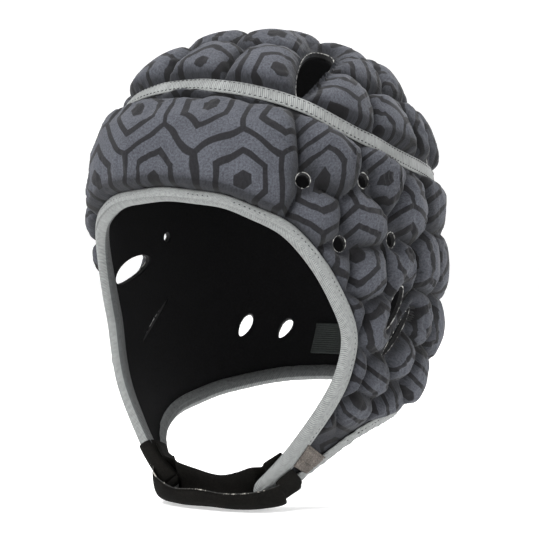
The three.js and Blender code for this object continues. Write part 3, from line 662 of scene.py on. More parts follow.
pads = [(name, on_head(angle, height)) for name, angle, height in BAND_PADS]
pads += [(name, crown_place(side, along)) for name, side, along in CROWN_PADS]
for name, middle in list(pads):
    if abs(middle[0]) > 0.001:
        twin_name = name if name == "forehead" else name + " right"
        pads.append((twin_name, middle * [-1, 1, 1]))
pad_names = np.array([name for name, _ in pads])
pad_middles = np.array([middle for _, middle in pads])
seam_line = line_on_form(SEAM["angle"], SEAM["height"], SEAM_STEPS)
seam_frames = frames_along(seam_line)
edge_length = step_lengths(edge_line).sum()
face_share = tip_index / len(edge_line) + FACE_BINDING_PAST_TIP / edge_length
face_count = int(face_share * len(edge_line))
face_line = np.concatenate([edge_line[-face_count:], edge_line[:face_count + 1]])
nape_line = edge_line[face_count:-face_count]


def distance_to(points, line):
    tree = KDTree(len(line))
    for i, spot in enumerate(line):
        tree.insert(spot, i)
    tree.balance()
    return np.array([tree.find(point)[2] for point in points])


def rounded(distance, shoulder):
    """0 on a line, rising steeply from it and levelling off past the shoulder."""
    return 1 - np.exp(-np.clip(distance, 0, None) / shoulder)


def pad_share(foot):
    """How far the knit is blown up at points of the form: 0 where it is sewn down and 1 on a pad."""
    squares = (foot**2).sum(1)[:, None] - 2 * foot @ pad_middles.T + (pad_middles**2).sum(1)
    own = squares.argmin(1)
    own_square = squares[np.arange(len(foot)), own]
    share = np.ones(len(foot))
    for k, middle in enumerate(pad_middles):
        span = np.linalg.norm(pad_middles[own] - middle, axis=1)
        other = pad_names[own] != pad_names[k]
        distance = (squares[:, k] - own_square) / (2 * np.maximum(span, 1e-6))
        share *= np.where(other, rounded(distance - CHANNEL_HALF, PAD_SHOULDER), 1)
    sewn_lines = [
        (seam_line, CROWN_TAPE_WIDTH / 2, TAPE_SHOULDER),
        (face_line, FACE_BINDING_WIDTH, TAPE_SHOULDER),
        (nape_line, NAPE_BINDING_WIDTH, TAPE_SHOULDER),
        (np.concatenate(rims["crown"] + rims["band"]), RIM_SEWN, RIM_SHOULDER),
    ]
    for line, flat, shoulder in sewn_lines:
        share *= rounded(distance_to(foot, line) - flat, shoulder)
    height = (foot[:, 2] - HEAD_LEVEL) / CHIN_DROP
    fade = np.clip((height - TONGUE_FLAT_FROM) / (TONGUE_PADDED_TO - TONGUE_FLAT_FROM), 0, 1)
    return share * fade * fade * (3 - 2 * fade)


def ripple(points, scale, offset):
    """Soft random folds at a number of them per metre, from -1 to 1."""
    return np.array([noise.noise(Vector(p * scale + offset)) for p in points])


def panel_face(foot):
    """The level of the knit at points of the form."""
    share = pad_share(foot)
    slope = share * (1 - share) * 4
    swell = 1 + PAD_UNEVEN * ripple(foot, 45, 3.1)
    gathers = slope * ripple(foot, 260, 7.7) * GATHER
    ribs = np.zeros(len(foot))
    for button in pad_middles[np.char.startswith(pad_names, "temple button")]:
        out = np.linalg.norm(foot - button, axis=1)
        wave = np.cos(out / BUTTON_RIB_PITCH * 2 * math.pi)
        ribs += np.where(out < BUTTON_RADIUS, BUTTON_RIB * wave, 0)
    return PANEL_SEAM_FACE + PAD_RISE * share**PAD_FULLNESS * swell + gathers + ribs


band = bag("band_pads", PANEL_CUTS, panel_face, halved=True)
sewn = band.vertex_groups.new(name="sewn")
for i, share in enumerate(pad_share(on_form(corners(band)))):
    sewn.add([i], float(np.clip(HELD_AT_SEAM - share * HELD_LESS_ON_PAD, 0, 1)), "REPLACE")


def blow_up(piece, frames, limit):
    """Blows the knit up over its foam as cloth under pressure, held where it is sewn."""
    start = corners(piece)
    cloth = piece.modifiers.new("knit", "CLOTH")
    for key, value in KNIT.items():
        setattr(cloth.settings, key, value)
    cloth.settings.effector_weights.gravity = 0
    cloth.collision_settings.use_collision = False
    cloth.point_cache.frame_start = 1
    cloth.point_cache.frame_end = frames
    scene = bpy.context.scene
    for number in range(1, frames + 1):
        scene.frame_set(number)
    pick(piece)
    bpy.ops.object.modifier_apply(modifier="knit")
    scene.frame_set(1)
    moved = corners(piece) - start
    reach = np.linalg.norm(moved, axis=1, keepdims=True)
    move_corners(piece, start + moved * np.minimum(1, limit / np.maximum(reach, 1e-9)))


blow_up(band, KNIT_FRAMES, KNIT_REACH)
inside = bag("panel_inside", LINING_CUTS, lambda foot: np.full(len(foot), PANEL_INSIDE))
carve(band, inside)
crown = band.copy()
crown.data = band.data.copy()
crown.name = "crown_pads"
bpy.context.collection.objects.link(crown)
crown_pole = np.array([0, 0, 0.0])
half_gap = seam_frames["inward"] * SEAM_GAP / 2
crown_side = cutter(on_form(seam_line + half_gap)[::4], CUT_NEAR, CUT_FAR, crown_pole)
band_side = cutter(on_form(seam_line - half_gap)[::4], CUT_NEAR, CUT_FAR, crown_pole)
carve(crown, crown_side, "INTERSECT")
carve(band, band_side)
carve(band, opening)
carve(crown, vent_cutters["crown"])
carve(band, vent_cutters["band"])
clear(inside, crown_side, band_side, opening, vent_cutters["crown"], vent_cutters["band"])


def print_map(piece, panel):
    """Lays the print on a panel by arc lengths: round and up the band, or out from the crown's top."""
    foot = on_form(corners(piece))
    x, y, z = foot[:, 0], foot[:, 1], foot[:, 2] - HEAD_LEVEL
    shares = np.linspace(0, 1, PROFILE_STEPS)
    if panel == "crown":
        profile = CROWN_HEIGHT * (1 - shares**DOME_ROUNDNESS) ** (1 / DOME_ROUNDNESS)
        mean = (HALF_WIDTH + HEAD_FRONT) / 2
        arc = running(np.hypot(np.diff(shares) * mean, np.diff(profile)))
        plan = plan_level(x / HALF_WIDTH, y / np.where(y < 0, HEAD_FRONT, HEAD_BACK))
        out = np.interp(plan, shares, arc) / np.maximum(np.hypot(x, y), 1e-6)
        u, v = x * out, -y * out
    else:
        ring = on_head(180 * shares, np.zeros(PROFILE_STEPS))
        along = running(np.linalg.norm(np.diff(ring, axis=0), axis=1))
        polar = np.arctan2(ring[:, 0], -ring[:, 1])
        own = np.abs(np.arctan2(x, -y))
        radius = np.interp(own, polar, np.hypot(ring[:, 0], ring[:, 1]))
        u = np.sign(x) * np.interp(own, polar, along) * np.hypot(x, y) / radius
        levels = np.linspace(-CHIN_DROP * 0.95, CROWN_HEIGHT * 0.95, PROFILE_STEPS)
        dome = (1 - np.clip(levels / CROWN_HEIGHT, 0, 1) ** DOME_ROUNDNESS) ** (1 / DOME_ROUNDNESS)
        width = HALF_WIDTH * dome * section_share(np.clip(-levels / CHIN_DROP, 0, 1), "width")
        climb = running(np.hypot(np.diff(levels), np.diff(width)))
        v = np.interp(z, levels, climb)
    for layer in list(piece.data.uv_layers):
        piece.data.uv_layers.remove(layer)
    layer = piece.data.uv_layers.new(name="print")
    corner = np.empty(len(piece.data.loops), int)
    piece.data.loops.foreach_get("vertex_index", corner)
    layer.data.foreach_set("uv", np.stack([u, v], 1)[corner].astype(np.float32).ravel())
    # The blown share is kept on the mesh for the painted shade in the knit's channels, seams and edges.
    blown = piece.data.attributes.new("blown", "FLOAT", "POINT")
    blown.data.foreach_set("value", pad_share(foot).astype(np.float32))


def printed_knit(name, shift, turn):
    """Heathered knit under a printed honeycomb: each cell has a border, a ring and a solid middle. Where the
    knit is sewn flat its colour is darkened as painted shade.
    """
    values = {"Roughness": 0.88, "Specular IOR Level": 0.22, "Sheen Weight": 0.05, "Sheen Roughness": 0.5}
    material, shader, add, link = new_material(name, values)

    def place(operation, **inputs):
        return add("VectorMath", dict(operation=operation), **inputs)["Vector"]

    flat = add("UVMap", dict(uv_map="print"))["UV"]
    mm = add("Mapping", Vector=flat, Location=shift, Rotation=(0, 0, turn), Scale=(1000,) * 3)["Vector"]
    drift = add("TexNoise", Vector=mm, Scale=0.035, Detail=1)["Color"]
    centred = place("SUBTRACT", i0=drift, i1=(0.5, 0.5, 0.5))
    drawn = place("MULTIPLY_ADD", i0=centred, i1=(PRINT_DRIFT, PRINT_DRIFT, 0), i2=mm)
    high = (PRINT_CELL / 2, PRINT_CELL * math.sqrt(3) / 2, 1)
    low = tuple(-value for value in high)
    first = place("WRAP", i0=drawn, i1=high, i2=low)
    moved = place("ADD", i0=drawn, i1=(high[0], high[1], 0))
    second = place("WRAP", i0=moved, i1=high, i2=low)

    def hexagon(vector):
        size = place("ABSOLUTE", i0=vector)
        slant = add("VectorMath", dict(operation="DOT_PRODUCT"), i0=size, i1=(0.5, math.sqrt(3) / 2, 0))
        side = add("SeparateXYZ", Vector=size)["X"]
        return calculate(add, "MAXIMUM", i0=side, i1=slant["Value"])

    out = calculate(add, "MINIMUM", i0=hexagon(first), i1=hexagon(second))
    ink = add("ValToRGB", Fac=calculate(add, "DIVIDE", i0=out, i1=PRINT_CELL / 2))["Color"]
    stops = ink.node.color_ramp.elements
    for i, (position, value) in enumerate(INK_STOPS):
        stop = stops[i] if i < 2 else stops.new(position)
        stop.position = position
        stop.color = (value, value, value, 1)
    heather = add("TexNoise", Vector=mm, Scale=0.95, Detail=3, Roughness=0.8)["Fac"]
    patchy = add("TexNoise", Vector=mm, Scale=0.05, Detail=2)["Fac"]
    spread = spread_out(add, calculate(add, "MULTIPLY_ADD", i0=patchy, i1=0.25, i2=heather), 0.42, 0.82)
    light = blend(add, spread, *LIGHT_YARN)
    dark = blend(add, spread, *DARK_YARN)
    # Painted shade: where the knit is sewn flat, in the channels between pads and along seams, edges and
    # vents, its colour is darkened down to CHANNEL_SHADE.
    blown = add("Attribute", dict(attribute_name="blown"))["Fac"]
    shade = add("MapRange", Value=blown, **{"To Min": CHANNEL_SHADE, "To Max": 1.0})[0]
    shaded = blend(add, 1.0, blend(add, ink, light, dark), shade, "MULTIPLY")
    link(shaded, shader.inputs["Base Color"])
    rib = add("TexWave", dict(bands_direction="X"), Vector=mm, Scale=0.42, Distortion=1.2,
              **{"Detail Scale": 3.0})["Fac"]
    weave = calculate(add, "MULTIPLY_ADD", i0=rib, i1=0.5, i2=heather)
    link(add("Bump", Strength=0.32, Distance=0.00035, Height=weave)["Normal"], shader.inputs["Normal"])
    return material


def of_faces(piece, key):
    """The centres or the normals of a mesh's faces."""
    values = np.empty(len(piece.data.polygons) * 3)
    piece.data.polygons.foreach_get(key, values)
    return values.reshape(-1, 3)


foam = cloth_finish("black_foam", (0.004, 0.004, 0.004), (0.020, 0.020, 0.021), 0.95, 1600, cells=True,
                    relief=(0.5, 0.0003))
PANELS = [
    dict(piece=crown, panel="crown", shift=(4, 11, 0), turn=0.12),
    dict(piece=band, panel="band", shift=(0, 7, 0), turn=0.0),
]
for row in PANELS:
    piece = row["piece"]
    print_map(piece, row["panel"])
    paint(piece, printed_knit(row["panel"] + "_print", row["shift"], row["turn"]), foam)
    foot = on_form(of_faces(piece, "center"))
    facing = np.sum(of_faces(piece, "normal") * form_normal(foot), axis=1)
    cuts = np.concatenate(rims[row["panel"]] + [seam_line, edge_line])
    wall = (facing < UNDERSIDE) | ((distance_to(foot, cuts) < CUT_REACH) & (np.abs(facing) < UPRIGHT))
    piece.data.polygons.foreach_set("material_index", wall.astype(np.int32))
    pick(piece)
    bpy.ops.object.shade_smooth_by_angle(angle=math.radians(50))
    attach(piece, "root")
    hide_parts(row["panel"] + "_panel")

# Vent edges: the vents are cut through the knit after the pads are welded, and each cut leaves a
# thin rim of pale, slightly frayed threads.
RIM_THREAD = 0.00026
RIM_FRAY = 0.7
RIM_SUNK = 0.0001


def thread_round(around, centre, side, up, radius):
    """Points round a thread, from its middle line and two ways across it."""
    turn = around % 1.0 * 2 * math.pi
    return centre + side * (np.cos(turn) * radius)[:, None] + up * (np.sin(turn) * radius)[:, None]


def rim_place(rim):
    frames = frames_along(rim)

    def place(around, along):
        at = frames_at(frames, along)
        radius = RIM_THREAD * (1 + RIM_FRAY * ripple(at["point"], 700, 1.3))
        spot = beside(at, np.zeros(len(along)), np.full(len(along), PANEL_SEAM_FACE - RIM_SUNK))
        return thread_round(around, spot, at["inward"], at["normal"], radius)

    return place


vent_edges = joined([wrapped("vent_edge", 8, 72, rim_place(rim)) for rim in rims["crown"] + rims["band"]])
vent_edges.name = "vent_edges"
paint(vent_edges, cloth_finish("frayed_edge", (0.02, 0.02, 0.022), (0.45, 0.45, 0.43), 0.9, 420, detail=3,
                               spread=(0.42, 0.66)))
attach(vent_edges, "root")

# Crown tape: light grey twill tape sewn flat over the seam between the crown and the band, with a
# row of stitches near each of its edges.
TAPE_WALL = 0.0010
TAPE_LEVEL = 0.0047
STITCH_PITCH = 0.0026
STITCH_ROW_INSET = 0.0014
STITCH_SIZE = [0.00085, 0.00042, 0.00034]
STITCH_SLANT = 0.18
TAPE_DOME = 0.0004
TAPE_WAVE = 0.00025
TAPE_WIDTH_WAVE = 0.05
TAPE_DRIFT = 0.0003
TAPE_STITCH_RISE = 0.00062
LIGHT_TWILL = [(0.245, 0.255, 0.250, 1), (0.105, 0.109, 0.109, 1)]
TWILL_SLANT = 0.8


def twill(name, light, dark, slant):
    """Twill tape: fine slanted ridges and a soft mottle."""
    values = {"Roughness": 0.85, "Specular IOR Level": 0.2, "Sheen Weight": 0.1}
    material, shader, add, link = new_material(name, values)
    flat = add("UVMap", dict(uv_map="weave"))["UV"]
    turned = add("Mapping", Vector=flat, Rotation=(0, 0, slant), Scale=(1000,) * 3)["Vector"]
    ridge = add("TexWave", dict(bands_direction="X"), Vector=turned, Scale=0.42, Distortion=0.25,
                **{"Detail Scale": 2.0})["Fac"]
    mottle = add("TexNoise", Vector=turned, Scale=0.6, Detail=3)["Fac"]
    mixed = calculate(add, "MULTIPLY_ADD", i0=ridge, i1=0.6, i2=mottle)
    tone = blend(add, spread_out(add, mixed, 0.40, 1.10), dark, light)
    link(tone, shader.inputs["Base Color"])
    link(add("Bump", Strength=0.5, Distance=0.0003, Height=mixed)["Normal"], shader.inputs["Normal"])
    return material


def squared(wave, power):
    """A wave from -1 to 1 with flattened tops, which makes a circle's section nearly square."""
    return np.sign(wave) * np.abs(wave) ** power


def flat_section(around, half_width, half_wall):
    """A tape's section: so far across and so far up at shares round it, with rounded corners."""
    turn = around % 1.0 * 2 * math.pi
    return half_width * squared(np.cos(turn), 0.35), half_wall * squared(np.sin(turn), 0.55)


def plain_beside(frames, into, level):
    """Like beside, but by the form's own normal on both sides of the line."""
    return out_from(on_form(frames["point"] + frames["inward"] * into[:, None]), level)


def crown_tape_shape(around, along):
    at = frames_at(seam_frames, along)
    wave = ripple(at["point"], 70, 5.0)
    across, up = flat_section(around, CROWN_TAPE_WIDTH / 2, TAPE_WALL / 2)
    moved = across * (1 + TAPE_WIDTH_WAVE * wave) + TAPE_DRIFT * ripple(at["point"], 40, 9.0)
    dome = TAPE_DOME * (1 - (across / (CROWN_TAPE_WIDTH / 2)) ** 2)
    return plain_beside(at, moved, TAPE_LEVEL + up + dome + TAPE_WAVE * wave)


seam_length = step_lengths(seam_line).sum()
crown_tape = wrapped("seam_tape", 24, 700, crown_tape_shape, (2 * CROWN_TAPE_WIDTH, seam_length))
light_twill = twill("light_twill", *LIGHT_TWILL, TWILL_SLANT)
crown_tape.data.materials.append(light_twill)
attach(crown_tape, "root")
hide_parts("crown_tape")


def stitches(name, spots, ways, ups, material, slot):
    """A row of stitches: one small bead of thread, copied to each spot, along its way."""
    deselect()
    bpy.ops.mesh.primitive_uv_sphere_add(segments=8, ring_count=5, radius=1)
    bead = bpy.context.object
    shape = corners(bead) * STITCH_SIZE
    faces = [tuple(face.vertices) for face in bead.data.polygons]
    sides = np.cross(ups, ways)
    points = (spots[:, None] + shape[None, :, :1] * ways[:, None] + shape[None, :, 1:2] * sides[:, None]
              + shape[None, :, 2:] * ups[:, None])
    count = len(shape)
    mesh = bpy.data.meshes.new(name)
    every = [tuple(k + i * count for k in face) for i in range(len(spots)) for face in faces]
    mesh.from_pydata(points.reshape(-1, 3).tolist(), [], every)
    mesh.polygons.foreach_set("use_smooth", [True] * len(mesh.polygons))
    clear(bead)
    piece = bpy.data.objects.new(name, mesh)
    bpy.context.collection.objects.link(piece)
    mesh.materials.append(material)
    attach(piece, "root")
    return piece


def row_of_stitches(frames, shares, into, level):
    """Where a row's stitches lie, which way they run and which way is out."""
    at = frames_at(frames, shares)
    spots = plain_beside(at, np.full(len(shares), into), np.full(len(shares), level))
    return spots, unit(at["along"] + at["inward"] * STITCH_SLANT), unit(at["normal"])


def together(rows):
    """The spots, ways and outward ways of several rows of stitches as one."""
    return [np.concatenate(parts) for parts in zip(*rows)]


# The stitches are coloured dark as painted shade: the thread itself is pale, and the dark stands for the
# shadow in the sunk stitch holes.
stitches_in_painted_shade = cloth_finish("stitch_thread_painted_shade", (0.006, 0.006, 0.007), (0.03, 0.03, 0.032), 0.8, 1500, detail=1)
count = int(seam_length / STITCH_PITCH)
shares = (np.arange(count) + 0.5) / count
row_into = CROWN_TAPE_WIDTH / 2 - STITCH_ROW_INSET
row_level = TAPE_LEVEL + TAPE_STITCH_RISE
rows = [row_of_stitches(seam_frames, shares, side * row_into, row_level) for side in (1, -1)]
stitches("crown_tape_stitches", *together(rows), stitches_in_painted_shade, "twill_tape")

# Face and nape bindings: the same twill tape, folded over the raw edge of panel and lining and sewn
# through. The wider one runs round the face edge and the tips of the cheek tongues, and the narrower
# one round the nape. Their inner legs, inside the cap, get a darker copy of the tape as painted shade.
OUTER_LEG = 0.0047
INNER_LEG = -0.0009
FOLD_REACH = 0.0017
FOLD_FROM = 0.40
FOLD_TO = 0.60
FOLD_LAP = 0.0002
BINDING_DOME = 0.0005
REACH_STEP = 0.0004
STITCHED_SHARE = 0.93
BINDING_STITCH_INSET = 0.0024
BINDING_STITCH_LEAST = 0.0006
OUTER_STITCH_RISE = 0.0007
INNER_STITCH_RISE = 0.0006
BINDINGS_APART = 0.0012
PAINTED_SHADE_FROM_MIDDLE = 0.0012
FACE_PUCKER = 0.00006
NAPE_PUCKER = 0.00050
FACE_TAPE_ROUND = 0.045
NAPE_TAPE_ROUND = 0.034
# The darker tones of the tape for its inner leg: painted shade.
INNER_LEG_PAINTED_SHADE_TWILL = [(0.095, 0.100, 0.100, 1), (0.035, 0.037, 0.038, 1)]


def binding_reach(width):
    """How far the binding reaches into the cap at each step of the edge. On a narrow tongue it stops
    at the middle line."""
    reach = np.full(len(edge_line), 0.0005)
    going = np.ones(len(edge_line), bool)
    while going.any() and reach.max() + REACH_STEP <= width:
        ahead = reach + REACH_STEP + 0.0003
        point = on_form(edge_line + edge_frames["inward"] * ahead[:, None])
        going &= distance_to(point, edge_line) > ahead * 0.96 - 0.0001
        reach = np.where(going & (reach + REACH_STEP <= width), reach + REACH_STEP, reach)
    ring = np.concatenate([reach[-6:], reach, reach[:6]])
    return np.convolve(ring, np.ones(13) / 13, "valid")


face_reach = binding_reach(FACE_BINDING_WIDTH)
nape_reach = binding_reach(NAPE_BINDING_WIDTH)


def reach_at(reach, shares):
    """A binding's reach at shares of the edge."""
    return np.interp(shares % 1.0, np.linspace(0, 1, len(reach), endpoint=False), reach, period=1)


def binding_place(reach, first, last, gathers):
    """A binding's shape from one share of the edge to another: two legs and a rounded fold."""

    def place(around, along):
        share = first + (last - first) * along
        at = frames_at(edge_frames, share)
        own_reach = reach_at(reach, share)
        wave = ripple(at["point"], 60, 2.0)
        pucker = ripple(at["point"], 330, 4.0) * gathers
        turn = around % 1.0
        outside = turn < 0.5
        way = 2 * np.where(outside, turn, 1 - turn)
        half = TAPE_WALL / 2 * np.where(outside, 1, -1)
        half = half * np.clip(np.minimum(way, 1 - way) * 30 + 0.35, 0, 1)
        swing = np.clip((way - FOLD_FROM) / (FOLD_TO - FOLD_FROM), 0, 1) * math.pi
        mean = (OUTER_LEG + INNER_LEG) / 2
        rise = (OUTER_LEG - INNER_LEG) / 2
        leg = np.where(way < 0.5, 1 - way / FOLD_FROM, (way - FOLD_TO) / (1 - FOLD_TO))
        leg = np.clip(leg, 0, 1)
        flat = leg * (own_reach * (1 + 0.03 * wave) + FOLD_LAP)
        into = flat - np.sin(swing) * (FOLD_REACH + half) - FOLD_LAP
        dome = BINDING_DOME * (1 - (2 * leg - 1) ** 2) * np.cos(swing)
        level = mean + np.cos(swing) * (rise + half) + dome + 0.0002 * wave + pucker * np.cos(swing)
        return beside(at, into, level)

    return place


face_length = 2 * face_share * edge_length
face_place = binding_place(face_reach, -face_share, face_share, FACE_PUCKER)
face_binding = wrapped("face_edge_tape", 56, 560, face_place, (FACE_TAPE_ROUND, face_length), ends=True)
nape_first = face_share + BINDINGS_APART
nape_length = (1 - 2 * nape_first) * edge_length
nape_place = binding_place(nape_reach, nape_first, 1 - nape_first, NAPE_PUCKER)
nape_binding = wrapped("nape_edge_tape", 56, 420, nape_place, (NAPE_TAPE_ROUND, nape_length), ends=True)
# A darker copy of the tape, as painted shade on the legs that face into the cap.
inner_leg_painted_shade_twill = twill("inner_leg_painted_shade_twill", *INNER_LEG_PAINTED_SHADE_TWILL, TWILL_SLANT)
for piece, node in ((face_binding, "face_binding"), (nape_binding, "nape_binding")):
    paint(piece, light_twill, inner_leg_painted_shade_twill)
    middles = of_faces(piece, "center")
    foot = on_form(middles)
    level = np.sum((middles - foot) * form_normal(foot), axis=1)
    # Faces of the inner leg get the darker tape as painted shade.
    inner = level < (OUTER_LEG + INNER_LEG) / 2 - PAINTED_SHADE_FROM_MIDDLE
    piece.data.polygons.foreach_set("material_index", inner.astype(np.int32))
    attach(piece, "root")
    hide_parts(node)


def stitch_shares(first, share, length):
    """Where a row's stitches come, from one share of the edge on over another, at the stitch pitch."""
    number = int(length / STITCH_PITCH)
    return first + (np.arange(number) + 0.5) / number * share


sewn_share = STITCHED_SHARE * face_share
face_shares = stitch_shares(-sewn_share, 2 * sewn_share, face_length * STITCHED_SHARE)
nape_shares = stitch_shares(nape_first, 1 - 2 * nape_first, nape_length)
for name, shares, steps in (("face", face_shares, face_reach), ("nape", nape_shares, nape_reach)):
    inset = np.maximum(reach_at(steps, shares) - BINDING_STITCH_INSET, BINDING_STITCH_LEAST)
    at = frames_at(edge_frames, shares)
    rows = []
    for level, out in ((OUTER_LEG + OUTER_STITCH_RISE, 1), (INNER_LEG - INNER_STITCH_RISE, -1)):
        spots = plain_beside(at, inset, np.full(len(shares), level))
        rows.append((spots, unit(at["along"]), unit(at["normal"]) * out))
    stitches(name + "_binding_stitches", *together(rows), stitches_in_painted_shade, "twill_tape")

# Chin strap: one soft black trough of laminated fabric that cups the chin. Its left end wraps the tip
# of a cheek tongue, its right end is a sleeve round the other, and its front lip is a raw cut edge with
# a few pale threads.
STRAP_WIDTH = 0.038
STRAP_WALL = 0.0022
STRAP_FOLD_DEPTH = 0.50
STRAP_ON_TONGUE = [
    dict(angle=59, outer=0.50, inner=0.62),
    dict(angle=51, outer=0.43, inner=0.62),
]
STRAP_UNDER_CHIN = [
    dict(side=0.445, ahead=0.410, drop=0.841, outer=0.43, inner=0.58, spread=0.22, lean=38, turn=55),
    dict(side=0.375, ahead=0.535, drop=0.851, outer=0.34, inner=0.54, spread=0.23, lean=24, turn=36),
    dict(side=0.200, ahead=0.595, drop=0.857, outer=0.27, inner=0.46, spread=0.27, lean=9, turn=15),
    dict(side=0.000, ahead=0.612, drop=0.858, outer=0.27, inner=0.42, spread=0.30, lean=0, turn=0),
]
STRAP_STEPS = 150
STRAP_BEND = 0.8
STRAP_BEND_STEPS = 15
STRAP_LIP_STEPS = 3
STRAP_LIP_THINNED = 0.45
STRAP_ROOM = 0.0008
STRAP_CREASE = 0.00025
CREASE_REACH = 0.12
RAISED_AT_RIGHT = [0.0010, 0.0050, 0.0080, 0.0080, 0.0060]
SLEEVE_TOP_FRONT = -0.217
SLEEVE_TOP_REAR = -0.2225
SLEEVE_ROOM = 0.0030
SLEEVE_HALF_THICKNESS = 0.0052
SLEEVE_PAST_TIP = 0.15
SLEEVE_CAP = 0.004
LIP_FROM = 0.16
LIP_TO = 0.84
LIP_THREAD = 0.00034
LIP_FRAY = 0.6


def trough(spread, outer, inner):
    """A trough's section: so far across, outwards, and so far up, at each corner round its wall."""
    half = spread - STRAP_WALL / 2
    bend = STRAP_BEND * spread
    swing = np.linspace(0, math.pi, STRAP_BEND_STEPS)
    across = half * squared(np.cos(swing), 0.75)
    up = STRAP_WALL / 2 + bend * (1 - np.sin(swing) ** 0.85)
    lip = np.linspace(1, 0, STRAP_LIP_STEPS, endpoint=False)
    wall = np.full(STRAP_LIP_STEPS, half)
    across = np.concatenate([wall, across, -wall])
    up = np.concatenate([bend + (outer - bend) * lip, up, bend + (inner - bend) * lip[::-1]])
    line = np.stack([across, up], 1)
    way = np.gradient(line, axis=0)
    way /= np.maximum(np.linalg.norm(way, axis=1, keepdims=True), 1e-9)
    side = np.stack([way[:, 1], -way[:, 0]], 1)
    half_wall = np.full(len(line), STRAP_WALL / 2)
    half_wall[[0, -1]] *= STRAP_LIP_THINNED
    out = line - side * half_wall[:, None]
    back_line = line + side * half_wall[:, None]
    return np.concatenate([out, back_line[::-1]])


def nape_share_at(angle):
    """The share of the edge that lies nearest to an angle on the left half of the nape edge."""
    rows = np.array(EDGE["angle"][TIP_ROW:], float)
    heights = np.array(EDGE["height"][TIP_ROW:], float)
    spot = on_head(angle, np.interp(angle, rows, heights))
    return np.argmin(np.linalg.norm(edge_line[:len(edge_line) // 2] - spot, axis=1)) / len(edge_line)


stations = []
for row in STRAP_ON_TONGUE:
    middle = (OUTER_LEG + INNER_LEG) / 2
    spread = (OUTER_LEG - INNER_LEG) / 2 + TAPE_WALL / 2 + STRAP_ROOM + STRAP_WALL
    section = trough(spread, row["outer"] * STRAP_WIDTH, row["inner"] * STRAP_WIDTH)
    fold_out = -(STRAP_WALL + STRAP_FOLD_DEPTH * spread)
    at = frames_at(edge_frames, np.full(len(section), nape_share_at(row["angle"])))
    stations.append(beside(at, fold_out + section[:, 1], middle + section[:, 0]))
for row in STRAP_UNDER_CHIN:
    level = HEAD_LEVEL - row["drop"] * CHIN_DROP
    fold = np.array([row["side"] * HALF_WIDTH, -row["ahead"] * HEAD_FRONT, level])
    lean, turn = math.radians(row["lean"]), math.radians(row["turn"])
    up = np.array([0, -math.sin(lean), math.cos(lean)])
    outward = np.array([math.sin(turn), -math.cos(turn), 0])
    outward = unit(outward - up * np.dot(outward, up))
    section = trough(row["spread"] * STRAP_WIDTH, row["outer"] * STRAP_WIDTH, row["inner"] * STRAP_WIDTH)
    stations.append(fold + outward * section[:, :1] + up * section[:, 1:])
right_stations = [section * [-1, 1, 1] for section in stations[-2::-1]]
for station, raised in zip(right_stations, RAISED_AT_RIGHT):
    station[:, 2] += np.abs(np.linspace(-1, 1, len(station))) ** 6 * raised
stations += right_stations
strap_rows = through(np.array(stations), np.linspace(0, 1, STRAP_STEPS + 1), False)
strap_sides = strap_rows.shape[1]


def strap_place(around, along):
    k = np.round(around * strap_sides).astype(int) % strap_sides
    i = np.round(along * STRAP_STEPS).astype(int)
    points = strap_rows[i, k]
    return points + STRAP_CREASE * ripple(points, 90, 6.0)[:, None] * (points - HEART) / CREASE_REACH


chin_strap = wrapped("chin_cup", strap_sides, STRAP_STEPS, strap_place, (0.09, 0.16), ends=True)
modify(chin_strap, "SUBSURF", levels=1, render_levels=1)
edge_z = edge_line[:, 2]
sleeve_front = int(np.argmin(np.abs(edge_z[:tip_index] - SLEEVE_TOP_FRONT)))
sleeve_rear = tip_index + int(np.argmin(np.abs(edge_z[tip_index:tip_index + 90] - SLEEVE_TOP_REAR)))


def sleeve_place(around, along):
    """The strap's right end: a sleeve round the right tongue, from its top to past the tongue's tip."""
    reach = along * (1 + SLEEVE_PAST_TIP)
    drop = np.minimum(reach, 1.0)
    past = np.clip(reach - 1.0, 0, SLEEVE_PAST_TIP) / SLEEVE_PAST_TIP
    front_step = np.round(sleeve_front + (tip_index - sleeve_front) * drop).astype(int)
    rear_step = np.round(sleeve_rear - (sleeve_rear - tip_index) * drop).astype(int)
    front, rear = edge_line[front_step], edge_line[rear_step]
    middle = on_form((front + rear) / 2)
    out = form_normal(middle)
    half = np.linalg.norm(front - rear, axis=1) / 2 + SLEEVE_ROOM
    steady = edge_line[sleeve_front] - edge_line[sleeve_rear]
    across = unit(steady - out * np.sum(steady * out, axis=1)[:, None])
    turn = around % 1.0 * 2 * math.pi
    close = np.sqrt(np.clip(1 - past**2, 0, 1))
    side = squared(np.cos(turn), 0.7) * half * close
    thick = squared(np.sin(turn), 0.7) * SLEEVE_HALF_THICKNESS * close
    level = (OUTER_LEG + INNER_LEG) / 2
    down = np.cross(across, out)
    down *= np.sign(-down[:, 2:3])
    points = middle + out * (level + thick)[:, None] + across * side[:, None]
    return (points + down * (past * SLEEVE_CAP)[:, None]) * [-1, 1, 1]


sleeve = wrapped("sleeve", 40, 46, sleeve_place, (0.05, 0.03), ends=True)
chin_strap = joined([chin_strap, sleeve])
paint(chin_strap, cloth_finish("strap_laminate", (0.0022, 0.0021, 0.0018), (0.0068, 0.0064, 0.0053), 0.85,
                               1100, worn=60, spread=(0.15, 0.42), relief=(0.3, 0.0003), specular=0.08))
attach(chin_strap, "root")
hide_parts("chin_strap")

lip_line = (strap_rows[:, 0] + strap_rows[:, -1]) / 2


